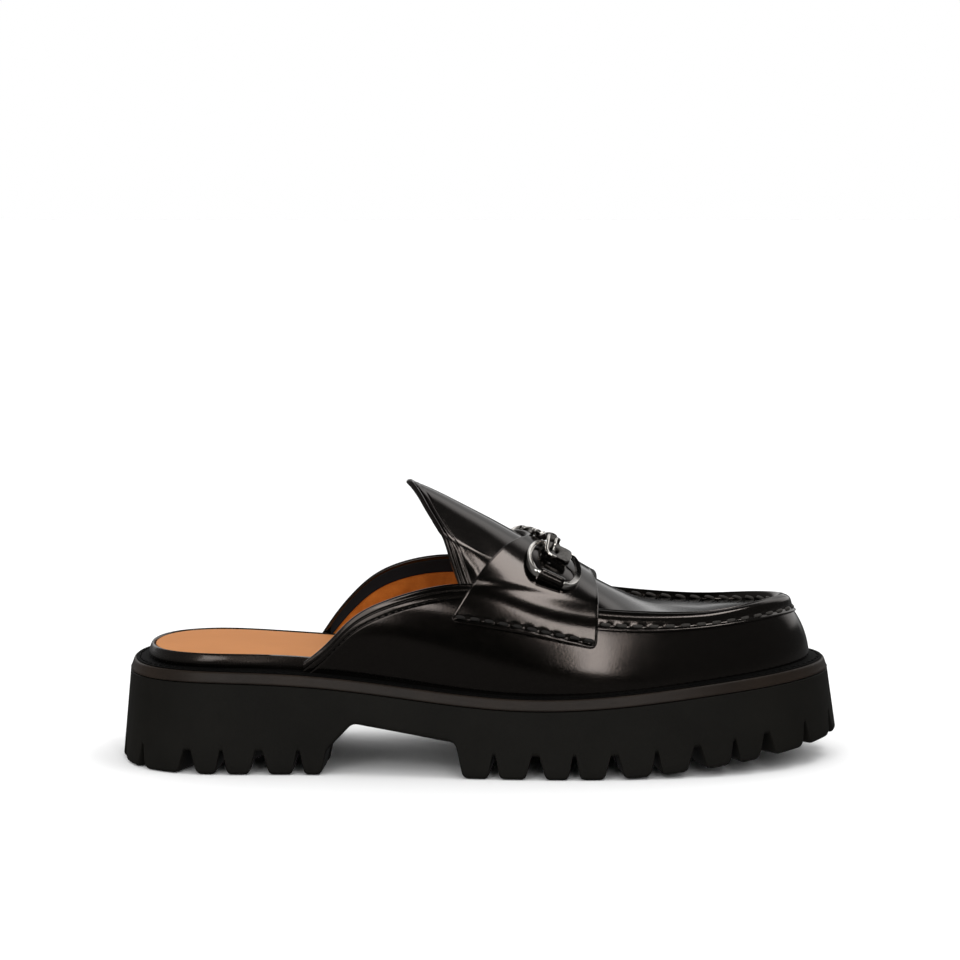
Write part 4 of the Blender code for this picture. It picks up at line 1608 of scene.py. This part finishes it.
    def tongue(self) -> Sheet:
        """Rear of the plug: a bent sheet of the last with a turned edge, tucked in behind the wings.

        A soft crease runs over the lower half from the rear edge toward the strap: a bell of the distance
        from its line.
        """
        last = self.last
        spans = ((-0.16, 0.12, 20), (0.12, 0.5, 44), (0.5, 1.0, 26))
        w = np.unique(np.concatenate([np.linspace(*span) for span in spans]))
        w = np.concatenate([w, w[-2::-1]])
        side = np.arange(len(w)) >= (len(w) + 1) // 2
        climb = np.clip(1 - w, 0, None)
        back = self.tongue_tip + (self.tongue_base - self.tongue_tip) * climb**self.tongue_taper
        near = np.array(self.near_edge) / self.tongue_run
        share = np.concatenate([near, np.linspace(0.118, 1, 76)[1:]])
        x = back[:, None] + (self.tongue_front - back[:, None]) * share[None, :]
        s = last.station(x)
        s = np.where(side[:, None], 2 - s, s)
        b = 1 + np.broadcast_to(w[:, None], s.shape)
        ahead = x - self.wing_x
        tuck = (self.tuck - self.tuck_fall * ahead) * (1 - ramp(w, -0.04, self.ridge))[:, None]
        rise = last.surface(s, np.full(s.shape, 2.0))[..., 2] - last.surface(s, np.ones(s.shape))[..., 2]
        fall = np.clip(self.ridge - self.ridge_fall * ahead, *self.ridge_limits)
        bent = self.bent(np.clip(w, 0, 1)[:, None] ** (math.log(self.ridge) / np.log(fall)))
        rise = rise * bent * (1 - ramp(x, *self.facet_span))
        crease_x, crease_w = self.crease_at
        over = self.crease_scale * (w[:, None] - crease_w)
        place = np.stack(np.broadcast_arrays(x - crease_x, over), axis=-1)
        way = unit(np.array(self.crease_way))
        off_line = place @ np.array([-way[1], way[0]])
        on_line = place @ way
        crease = pressed(off_line, (self.crease,)) * ramp(on_line, -3.0, 1.0)
        crease = crease * (1 - ramp(on_line, 7.0, 11.0))
        rows = last.surface(s, b) + last.outward(s, b) * (crease - tuck)[..., None] + stack(0.0, 0.0, rise)
        normal = upward_normals(rows, 40)
        from_back = run_along(rows, axis=1)
        half = self.tongue_thick / 2
        gone = rounded_off(np.minimum(from_back, to_border(rows)), half, half)
        line = pressed(from_back, self.tongue_lines)
        outer = rows - normal * (gone + line)[..., None]
        inner = rows - normal * (self.tongue_thick - gone)[..., None]
        return Sheet.shell(outer, inner)

    def build(self) -> None:
        """Builds and dresses the pieces of the upper."""
        finishes = self.finishes
        self.wall().place("vamp_wall", finishes.hide, Slot.BRUSHED, ["upper"], 50.0)
        self.apron().place("apron", finishes.hide, Slot.BRUSHED, ["upper"])
        self.lining().place("lining", finishes.suede, Slot.TAN)
        self.collar_facing().place("collar_facing", finishes.facing, Slot.BLACK)
        self.tongue().place("tongue_leather", finishes.hide, Slot.BRUSHED, ["tongue"])
        self.seam_stitches().place("seam_stitches", finishes.cord, Slot.BLACK)
        self.collar_stitches().place("collar_stitches", finishes.dull, Slot.BLACK)


@dataclass
class SaddleStrap:
    """The band over the instep with its turned lower edge and thick stitches.

    The rear and fore lines give the x at the lower edge, the gain up the wall and the gain over the instep.
    Rows of lines give distance, height and width, those of low_rows x and the lower edge's height.
    """

    last: Last
    finishes: Finishes
    thick: float = 1.5
    gap: float = 0.4
    pitch: float = 5.5
    corner_round: float = 2.6
    corner_rise: float = 18.0
    rim_round: float = 0.45
    rim_share: float = 0.05
    bow: float = 1.5
    rear_line: Trio = (-12.5, 8.0, 22.5)
    fore_line: Trio = (44.2, 1.5, -4.0)
    stitch_height: float = 2.6
    stitch_seat: float = 0.12
    stitch_ends: Pair = (3.75, 2.1)
    stitch: Stitch = Stitch(length=4.1, radius=0.72, dip=0.6)
    dimple: float = 0.36
    lip_lines: Rows = ((0.95, 0.38, 0.7), (2.6, -0.5, 0.62))
    rim_line: Trio = (0.5, 0.08, 0.3)
    step: float = 0.3
    step_span: Pair = (16.4, 20.0)
    low_rows: Rows = ((-14.0, 58.0), (7.5, 54.6), (26.3, 51.0), (46.0, 47.2))

    def __post_init__(self) -> None:
        """Makes the spline of the lower edge."""
        self.low = Spline.column(self.low_rows, 1)

    def spot(self, side: Array, climb: Array, share: Array) -> tuple[Array, Array]:
        """Station and height on the last for a place on the strap.

        Args:
            side: -1 lateral, 1 medial.
            climb: 0 to 1 up the wall, 1 to 2 over the instep.
            share: 0 at the rear edge, 1 at the front one.

        Returns:
            Station and height b of the last's surface.
        """
        last = self.last
        lift = np.clip(climb - 1, 0, 1)
        rise = np.clip(climb, 0, 1)
        away = np.clip(1 - rise * self.corner_rise / self.corner_round, 0, 1)
        turn = self.corner_round * (1 - np.sqrt(1 - away**2))
        start, wall, roof = self.rear_line
        rear = start + wall * rise + roof * (1 - (1 - lift) ** self.bow) + turn
        start, wall, roof = self.fore_line
        fore = start + wall * rise + roof * lift**self.bow - turn
        s = last.station(rear + (fore - rear) * share)
        s = np.where(side > 0, 2 - s, s)
        low = last.height_on_wall(s, self.low(last.station_x(s)))
        return s, np.where(climb > 1, climb, low + (1 - low) * rise)

    def base(self) -> Array:
        """The last's surface under the strap, eased where wall and instep meet."""
        near = 1 - np.cos(np.linspace(0, math.pi / 2, 40))
        climb = np.concatenate([near, 1 + np.linspace(0, 1, 56)[1:]])
        climb = np.concatenate([climb, climb[-2::-1]])
        side = np.where(np.arange(len(climb)) < (len(climb) + 1) // 2, -1, 1)
        edge = 1 - np.cos(np.linspace(0, math.pi / 2, 12))
        rim = self.rim_share
        share = np.concatenate([edge * rim, np.linspace(rim, 1 - rim, 70)[1:-1], 1 - edge[::-1] * rim])
        s, b = self.spot(side[:, None], climb[:, None], share[None, :])
        rows = self.last.surface(s, b)
        relax(rows, 0.5 * bump(climb, 1.0, 0.2)[1:-1, None, None], 40)
        return rows

    def faces(self) -> tuple[Array, Array, Array]:
        """Thickens the base: rounded rim, turned lower lip, a trough for the stitches, a soft step.

        Returns:
            Outer face, inner face and unit normals.
        """
        rows = self.base()
        normal = upward_normals(rows, 40)
        from_low = to_border(rows)
        from_end = to_border(rows, axis=1)
        gone = rounded_off(np.minimum(from_low, from_end), self.thick / 2, self.rim_round)
        between = 0.5 + 0.5 * np.cos(2 * math.pi * run_along(rows, axis=1) / self.pitch)
        pinch = self.dimple * between * bump(from_low, self.stitch_height, 0.9)
        lip = pressed(from_low, self.lip_lines) - pinch
        lip = lip * ramp(from_end, 0.0, 1.2) + pressed(from_end, (self.rim_line,))
        lip = lip + self.step * ramp(from_low, *self.step_span)
        outer = rows + normal * (self.gap + self.thick - gone + lip)[..., None]
        inner = rows + normal * (self.gap + gone)[..., None]
        return outer, inner, normal

    def stitch_sheet(self, face: Array, normal: Array) -> Sheet:
        """Stitches along both lower edges, in the row of the face that lies at their height.

        Args:
            face: Outer face of the strap.
            normal: Its unit normals.

        Returns:
            The stitches.
        """
        depth = to_border(self.base())[:, face.shape[1] // 2]
        half = len(face) // 2
        row = int(np.argmin(np.abs(depth[:half] - self.stitch_height)))
        other = int(np.argmin(np.abs(depth[:half:-1] - self.stitch_height)))
        start, stop = self.stitch_ends
        sets = []
        for line, off in ((face[row], normal[row]), (face[-1 - other], normal[-1 - other])):
            run = run_along(line)
            at = np.arange(start, run[-1] - stop, self.pitch)
            up = unit(sampled(at, run, off))
            along = unit(sampled(at, run, np.gradient(line, axis=0)))
            sets.append(stitches(sampled(at, run, line) + up * self.stitch_seat, along, up, self.stitch))
        return Sheet.joined(sets)

    def build(self) -> None:
        """Builds and dresses the strap."""
        outer, inner, normal = self.faces()
        Sheet.shell(outer, inner).place("strap", self.finishes.hide, Slot.BRUSHED, ["saddle_strap"])
        self.stitch_sheet(outer, normal).place("strap_stitches", self.finishes.thread, Slot.BLACK)


@dataclass
class Snaffle:
    """Two rings on the strap, held by leather keepers and joined by a two-part mouthpiece.

    Pairs for the rings are lateral, then medial. Sections give width, height and power. Places on a ring are
    millimetres along the shoe, down the side and off the strap. Rows of tab_rows give the share of the way
    from eye to rim and the height, those of wedge a section in shares of its width and height.
    """

    last: Last
    finishes: Finishes
    half: float = 9.8
    bar: float = 5.2
    arc: float = 5.0
    lift: float = 1.7
    seat: float = 1.9
    stations: Pair = (26.0, 18.0)
    reaches: Pair = (0.42, 0.30)
    skew: float = 1.3
    thin: float = 1.5
    broad: float = 3.4
    tall: float = 2.3
    arch: float = 0.2
    wedge: Rows = (
        (-0.48, -0.55), (-0.50, -0.14), (-0.45, 0.00), (0.20, 0.44),
        (0.31, 0.46), (0.42, 0.36), (0.50, 0.10), (0.50, -0.55),
    )
    far_shift: Trio = (-1.9, 3.0, -2.4)
    bar_section: Trio = (1.7, 1.7, 2.0)
    roll: Pair = (2.15, 2.05)
    roll_gap: float = 0.3
    skirt: Rows = ((-2.05, -1.6), (-1.6, -1.8), (0.0, -1.8), (1.6, -1.8), (2.05, -1.6))
    hinge: Trio = (-3.1, -13.3, 1.2)
    hinge_half: float = 3.1
    hinge_section: Trio = (2.6, 2.4, 3.0)
    hook_section: Trio = (1.15, 0.9, 2.8)
    shank_section: Trio = (4.2, 2.0, 4.5)
    shank_gap: float = 2.6
    shank_turn: Pair = (0.35, 1.1)
    shank_size: Pair = (1.05, 0.3)
    link_gap: float = 1.3
    link_oval: Trio = (2.4, 2.1, 0.85)
    eye: Pair = (-1.2, -4.9)
    eye_round: float = 1.75
    tab_middle: Pair = (0.8, -5.9)
    tab_half: Pair = (5.2, 4.6)
    tab_power: float = 5.5
    tab_slant: float = 0.05
    tab_rows: Rows = (
        (1.0, 0.2), (1.0, 1.45), (0.985, 1.75), (0.94, 1.95),
        (0.6, 2.0), (0.12, 2.0), (0.03, 1.9), (0.0, 1.6),
        (0.0, 0.2),
    )
    long_leg: Rows = (
        (-4.9, -13.2, 2.1), (-4.8, -10.0, 2.6), (-4.6, -6.8, 2.6), (-4.2, -3.4, 2.4),
        (-3.2, -1.7, 2.3), (-1.7, -1.0, 2.2), (0.2, -1.1, 2.1),
    )
    short_leg: Rows = (
        (-1.6, -13.2, 2.1), (-1.8, -11.2, 2.7), (-1.8, -8.6, 3.0), (-1.5, -6.6, 2.4),
        (-1.2, -5.6, 1.0),
    )

    def frame(self, side: Side) -> tuple[Array, Array, Array, Array]:
        """Place of a ring: a point over the last, with directions from the last's differences.

        Args:
            side: Which ring.

        Returns:
            Its middle, and the ways along the shoe, down the side and off the strap.
        """
        last = self.last
        which = 0 if side is Side.LATERAL else 1
        s = np.array(last.side_station(self.stations[which], side))
        b = np.array(1 + self.reaches[which])
        normal = last.outward(s, b)
        middle = last.surface(s, b) + normal * (self.seat + self.lift)
        h = 1e-3
        along = (last.surface(s + h, b) - last.surface(s - h, b)) * -side.value
        along = unit(along - normal * np.dot(along, normal))
        down = np.cross(along, normal)
        down = down * -np.sign(down[2])
        return middle, along, unit(down), normal

    def tube(self, path: Array, across: Array, up: Array, shape: Array, closed: bool = False) -> Sheet:
        """A section carried along a path.

        Args:
            path: Points of the middle line.
            across: Unit direction of the section's first axis, at each point or for all.
            up: Unit direction of its second axis, at each point or for all.
            shape: Section points, one set for each path point or one for all.
            closed: Whether the path joins itself.

        Returns:
            The tube, with its ends drawn together unless closed.
        """
        across = np.broadcast_to(across, path.shape)
        up = np.broadcast_to(up, path.shape)
        shape = np.broadcast_to(shape, (len(path),) + shape.shape[-2:])
        rows = path[:, None] + across[:, None] * shape[..., :1] + up[:, None] * shape[..., 1:]
        if not closed:
            ends = np.repeat(rows[[0, -1]].mean(axis=1, keepdims=True), rows.shape[1], axis=1)
            rows = np.concatenate([ends[:1], rows, ends[1:]])
        return Sheet.grid(rows, wrap_rows=closed, wrap_columns=True)

    @staticmethod
    def rounded(width: float, height: float, power: float, count: int = 20) -> Array:
        """Superellipse section: cosine and sine raised to 2 over the power, signs kept.

        Args:
            width: Full width.
            height: Full height.
            power: 2 for an ellipse, more for squarer corners.
            count: Number of points.

        Returns:
            The points.
        """
        turn = np.linspace(0, 2 * math.pi, count, endpoint=False)
        c, s = np.cos(turn), np.sin(turn)
        x = np.sign(c) * np.abs(c) ** (2 / power) * width / 2
        y = np.sign(s) * np.abs(s) ** (2 / power) * height / 2
        return np.stack([x, y], axis=-1)

    def at(self, side: Side, places: Sequence[Sequence[float]]) -> Array:
        """Points of the hanging parts: the ring's middle plus each measure times its direction.

        Args:
            side: Which ring.
            places: Millimetres along the shoe, down the side and off the strap.

        Returns:
            The points.
        """
        middle, along, down, normal = self.frame(side)
        rows = np.asarray(places, float) + (np.array(self.far_shift) if side is Side.MEDIAL else 0.0)
        return middle + rows[:, :1] * along + rows[:, 1:2] * down + rows[:, 2:] * normal

    def curve(self, side: Side, places: Sequence[Sequence[float]], count: int) -> Array:
        """A smooth line through places of a ring: cubics against the distance travelled.

        Args:
            side: Which ring.
            places: Places as the method at takes them.
            count: Number of points.

        Returns:
            The line.
        """
        knots = self.at(side, places)
        run = run_along(knots)
        fine = np.linspace(0, run[-1], count)
        return np.stack([Spline(run, knots[:, k])(fine) for k in range(3)], axis=-1)

    def wire(self, path: Array, lean: Array, shape: Array) -> Sheet:
        """A section carried along a path, its second axis kept as near as may be to a direction."""
        way = unit(np.gradient(path, axis=0))
        across = unit(np.cross(way, lean))
        return self.tube(path, across, np.cross(across, way), shape)

    def ring(self, side: Side) -> Sheet:
        """Two crescents and two thin bars.

        A crescent follows half an ellipse. Its section is a wedge with the ridge at the outside, and it
        grows from the thin width at the top to the broad width at its cut lower end.

        Args:
            side: Which ring.

        Returns:
            The ring.
        """
        middle, along, down, normal = self.frame(side)
        sheets = []
        wedge = np.array(self.wedge)
        for sign in (-1, 1):
            angle = np.linspace(-math.pi / 2, math.pi / 2, 57)
            c, s = np.cos(angle)[:, None], np.sin(angle)[:, None]
            skew = self.skew * (s + 1) / 2
            path = middle + along * (sign * (self.bar + self.arc * c) + skew) + down * (self.half * s)
            outward = unit(along * sign * c * self.half + down * s * self.arc)
            share = ((s + 1) / 2)[..., None]
            width = self.thin + (self.broad - self.thin) * share**1.2
            size = np.concatenate([width, self.tall * (0.75 + 0.35 * share)], axis=-1)
            sheets.append(self.tube(path, outward, normal, wedge * size))
        for sign, shift in ((-1, 0.0), (1, self.skew)):
            ends = np.linspace(-1, 1, 5)[:, None]
            path = middle + along * (self.bar * ends + shift) + down * (self.half * sign)
            sheets.append(self.tube(path, down, normal, self.rounded(*self.bar_section)))
        return Sheet.joined(sheets)

    def keeper(self, side: Side) -> Sheet:
        """Leather rolled round the ring's outer bar: an arc of an ellipse closed by a skirt on the strap.

        Args:
            side: Which ring.

        Returns:
            The sleeve.
        """
        middle, along, down, normal = self.frame(side)
        across = np.linspace(-1, 1, 21)
        ease = np.sqrt(np.clip(1 - np.abs(across) ** 18, 0, 1))
        reach = across * (self.bar - self.roll_gap) + self.skew
        path = middle + down * self.half + along * reach[:, None]
        turn = np.linspace(-0.12, 1.12, 19) * math.pi
        roll = np.stack([self.roll[0] * np.cos(turn), self.roll[1] * np.sin(turn)], axis=-1)
        section = np.concatenate([roll, np.array(self.skirt)])
        return self.tube(path, down, normal, section * (0.88 + 0.12 * ease)[:, None, None])

    def plate(self, side: Side) -> Sheet:
        """Dark tab that hangs in the ring, with a round eye, and the hinge bar above it.

        The tab's face is a polar grid round the eye: from the eye's circle out to a rounded rectangle.

        Args:
            side: Which ring.

        Returns:
            The tab and its bar.
        """
        middle = np.array(self.tab_middle)
        rim = self.rounded(2.0, 2.0, self.tab_power, 88) * np.array(self.tab_half)
        rim = rim + middle - np.array(self.eye)
        hole = self.rounded(2.0, 2.0, 2.0, 88) * self.eye_round
        rows = []
        for share, z in self.tab_rows:
            flat = np.array(self.eye) + hole + (rim - hole) * share
            slant = z + self.tab_slant * (flat[:, 1] - middle[1])
            rows.append(self.at(side, np.stack([flat[:, 0], flat[:, 1], slant], axis=-1)))
        tab = Sheet.grid(np.stack(rows), wrap_rows=True, wrap_columns=True)
        end = np.array([self.hinge_half, 0.0, 0.0])
        path = self.at(side, np.linspace(-end, end, 13) + np.array(self.hinge))
        ease = np.sqrt(np.clip(1 - np.abs(np.linspace(-1, 1, 13)) ** 10, 0, 1))
        section = self.rounded(*self.hinge_section) * (0.8 + 0.2 * ease)[:, None, None]
        return Sheet.joined([tab, self.wire(path, self.frame(side)[3], section)])

    def hook(self, side: Side) -> Sheet:
        """Bright wire hung on the hinge bar: one leg rounds the tab's corner, the other enters its eye."""
        normal = self.frame(side)[3]
        section = self.rounded(*self.hook_section, 14)
        legs = (self.long_leg, self.short_leg)
        return Sheet.joined([self.wire(self.curve(side, leg, 40), normal, section) for leg in legs])

    def loop(self, spot: Array, first: Array, second: Array) -> Sheet:
        """A closed oval of round wire: cosine and sine along two directions.

        Args:
            spot: Middle of the oval.
            first: Unit direction of its long half.
            second: Unit direction of its short half.

        Returns:
            The loop.
        """
        wide, tall, wire = self.link_oval
        turn = np.linspace(0, 2 * math.pi, 44, endpoint=False)[:, None]
        path = spot + first * (wide * np.cos(turn)) + second * (tall * np.sin(turn))
        outward = unit(first * (np.cos(turn) / wide) + second * (np.sin(turn) / tall))
        section = self.rounded(2 * wire, 2 * wire, 2.0, 14)
        return self.tube(path, outward, unit(np.cross(first, second)), section, closed=True)

    def mouthpiece(self, side: Side) -> Sheet:
        """Half of the mouthpiece: a flat shank from the hinge bar, twisted evenly, ending in an eye.

        Args:
            side: Which half.

        Returns:
            Shank and eye.
        """
        near = self.at(side, [self.hinge])[0]
        far = self.at(Side(-side.value), [self.hinge])[0]
        inward = unit(far - near)
        centre = (near + far) / 2 + self.arch * UP
        t = np.linspace(0, 1, 49)
        lift = np.sin(math.pi * t / 2) * self.arch * 0.3
        path = near + (centre - inward * self.shank_gap - near) * t[:, None] + stack(0.0, 0.0, lift)
        side_way = unit(np.cross(inward, UP))
        up_way = np.cross(side_way, inward)
        twist = (self.shank_turn[0] + t * self.shank_turn[1] * math.pi)[:, None]
        across = side_way * np.cos(twist) + up_way * np.sin(twist)
        upward = -side_way * np.sin(twist) + up_way * np.cos(twist)
        size = (self.shank_size[0] - self.shank_size[1] * t)[:, None, None]
        shank = self.tube(path, across, upward, self.rounded(*self.shank_section, 24) * size)
        lean = unit(side_way + up_way * side.value)
        return Sheet.joined([shank, self.loop(centre - inward * self.link_gap, inward, lean)])

    def build(self) -> None:
        """Builds and dresses the ornament."""
        steel, nickel, hide = self.finishes.steel, self.finishes.nickel, self.finishes.hide
        for side in Side:
            word = side.name.lower()
            link = [f"bit_link_{word}"]
            self.ring(side).place(f"ring_{word}", steel, Slot.STEEL, [f"bit_ring_{word}"], 35.0)
            self.plate(side).place(f"plate_{word}", nickel, Slot.STEEL, link, 40.0)
            self.hook(side).place(f"hook_{word}", steel, Slot.STEEL, link, 45.0)
            self.mouthpiece(side).place(f"mouthpiece_{word}", steel, Slot.STEEL, link, 45.0)
            self.keeper(side).place(f"keeper_wrap_{word}", hide, Slot.BLACK, [f"keeper_{word}"], 40.0)


@dataclass(frozen=True)
class SoftBox:
    """A soft box by its place in the sky: degrees round from the camera toward the toe, and up."""

    name: str
    azimuth: float
    height: float
    spread: Pair
    radiance: float
    roll: float = 0.0
    away: float = 1.4


@dataclass
class Studio:
    """Pale floor, soft boxes and the camera at the photograph's angle."""

    boxes: tuple[SoftBox, ...] = (
        SoftBox("key", 13.2, 28.0, (4.9, 45.0), 7.2, -9.0),
        SoftBox("upper right", 73.5, 65.5, (23.5, 13.0), 6.2),
        SoftBox("left", -26.0, 21.0, (20.0, 18.0), 2.2),
        SoftBox("left strip", -19.0, 32.5, (22.0, 7.5), 4.8),
    )
    dome_power: float = 3.3
    dome_deg: float = 160.0
    dome_lean: float = -12.0
    lens: float = 115.74
    sensor: float = 36.0
    stand: Trio = (0.0, -1.18354, 0.24805)
    pitch_deg: float = 83.203
    aim: float = 0.05
    floor_half: float = 6000.0
    floor_drop: float = -0.2

    def camera(self) -> None:
        """Camera in front of the lateral side, looking slightly down."""
        data = bpy.data.cameras.new("camera")
        data.lens = self.lens
        data.sensor_width = self.sensor
        data.clip_start = 0.05
        made = bpy.data.objects.new("camera", data)
        made.location = self.stand
        made.rotation_euler = (math.radians(self.pitch_deg), 0.0, 0.0)
        show(made)
        bpy.context.scene.camera = made

    def floor(self) -> None:
        """Pale floor that glossy leather doesn't mirror."""
        ends = np.array([-self.floor_half, self.floor_half])
        corners = stack(ends[None, :], ends[:, None], self.floor_drop)
        mesh = bpy.data.meshes.new("floor")
        mesh.from_pydata((corners.reshape(-1, 3) * MM).tolist(), [], Sheet.cells(2, 2).tolist())
        mesh.materials.append(FloorPaint("pale floor").make())
        floor = bpy.data.objects.new("floor", mesh)
        show(floor)
        floor.visible_glossy = False

    def box(self, soft: SoftBox) -> None:
        """Adds a soft box that faces the shoe; its power is pi times radiance times area.

        Args:
            soft: Its place, size and radiance.
        """
        wide = 2 * soft.away * math.tan(math.radians(soft.spread[0] / 2))
        high = 2 * soft.away * math.tan(math.radians(soft.spread[1] / 2))
        data = bpy.data.lights.new(soft.name, "AREA")
        data.shape = "RECTANGLE"
        data.size = wide
        data.size_y = high
        data.energy = math.pi * soft.radiance * wide * high
        made = bpy.data.objects.new(soft.name, data)
        a, e = math.radians(soft.azimuth), math.radians(soft.height)
        way = Vector((math.sin(a) * math.cos(e), -math.cos(a) * math.cos(e), math.sin(e)))
        made.location = way * soft.away + Vector((0.0, 0.0, self.aim))
        lean = Quaternion((0.0, 0.0, 1.0), math.radians(soft.roll))
        made.rotation_euler = (way.to_track_quat("Z", "Y") @ lean).to_euler()
        made.visible_camera = False
        show(made)

    def dome(self) -> None:
        """Wide soft light from above, leaning to the heel's side, that only matte colour shows."""
        data = bpy.data.lights.new("dome", "SUN")
        data.energy = self.dome_power
        data.angle = math.radians(self.dome_deg)
        made = bpy.data.objects.new("dome", data)
        made.rotation_euler = (0.0, math.radians(self.dome_lean), 0.0)
        made.visible_glossy = False
        made.visible_camera = False
        show(made)

    def sky(self) -> None:
        """White to the camera; to gloss bright behind, faint at both sides and near black in front.

        Each mask is a product of smooth steps of the direction's x (beside), y (back) and z (high).
        """
        world = bpy.data.worlds.new("studio")
        bpy.context.scene.world = world
        world.use_nodes = True
        bench = Bench(world.node_tree)
        way = bench.node("ShaderNodeTexCoord", output="Generated")
        back = bench.node("ShaderNodeSeparateXYZ", inputs={0: way}, output="Y")
        high = bench.node("ShaderNodeSeparateXYZ", inputs={0: way}, output="Z")
        beside = bench.node("ShaderNodeSeparateXYZ", inputs={0: way}, output="X")
        under = 1 - high.between(-0.03, 0.03)
        slim = beside * (1 - 0.65 * high.between(0.1, 0.28))
        width = bench.node("ShaderNodeMath", {"operation": "MAXIMUM"}, {0: slim, 1: -1 * beside})
        # The bright wall behind the shoe, cut off near the zenith.
        behind = (back - width).between(-0.05, 0.3) * high.between(-0.02, 0.2)
        behind = behind * (1 - high.between(0.72, 0.82))
        # A greyer patch in its middle, a greyer upper left and a dark slot just over the horizon.
        middle = beside.between(0.02, 0.1) * (1 - beside.between(0.36, 0.52))
        middle = middle * high.between(0.18, 0.3) * (1 - high.between(0.5, 0.66))
        upper_left = (1 - beside.between(0.02, 0.28)) * high.between(0.4, 0.62)
        slot = back.between(0.9, 0.98) * high.between(0.01, 0.04) * (1 - high.between(0.13, 0.19))
        wall = 0.95 * behind * (1 - 0.6 * upper_left) * (1 - 0.85 * slot) * (1 - 0.52 * middle)
        right = beside.between(0.15, 0.45)
        left = (-1 * beside).between(0.2, 0.5)
        above = 0.004 + wall + 0.065 * right + 0.15 * left
        seen = above * (1 - under) + 0.1 * under
        direct = bench.node("ShaderNodeLightPath", output="Is Camera Ray")
        strength = seen * (1 - direct) + direct
        shade = bench.node("ShaderNodeBackground", inputs={"Color": (1, 1, 1, 1), "Strength": strength})
        bench.node("ShaderNodeOutputWorld", inputs={"Surface": shade})

    def build(self) -> None:
        """Sets up camera, floor, light and the colour transform."""
        self.camera()
        self.floor()
        self.sky()
        self.dome()
        for soft in self.boxes:
            self.box(soft)
        bpy.context.scene.view_settings.view_transform = "Standard"


def main() -> None:
    """Builds the shoe piece by piece, then the studio."""
    logging.basicConfig(level=logging.INFO, format="%(message)s")
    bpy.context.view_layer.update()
    last = Last()
    finishes = Finishes()
    SoleUnit(last, finishes).build()
    Vamp(last, finishes).build()
    SaddleStrap(last, finishes).build()
    Snaffle(last, finishes).build()
    Studio().build()
    bpy.context.view_layer.update()


if __name__ == "__main__":
    main()
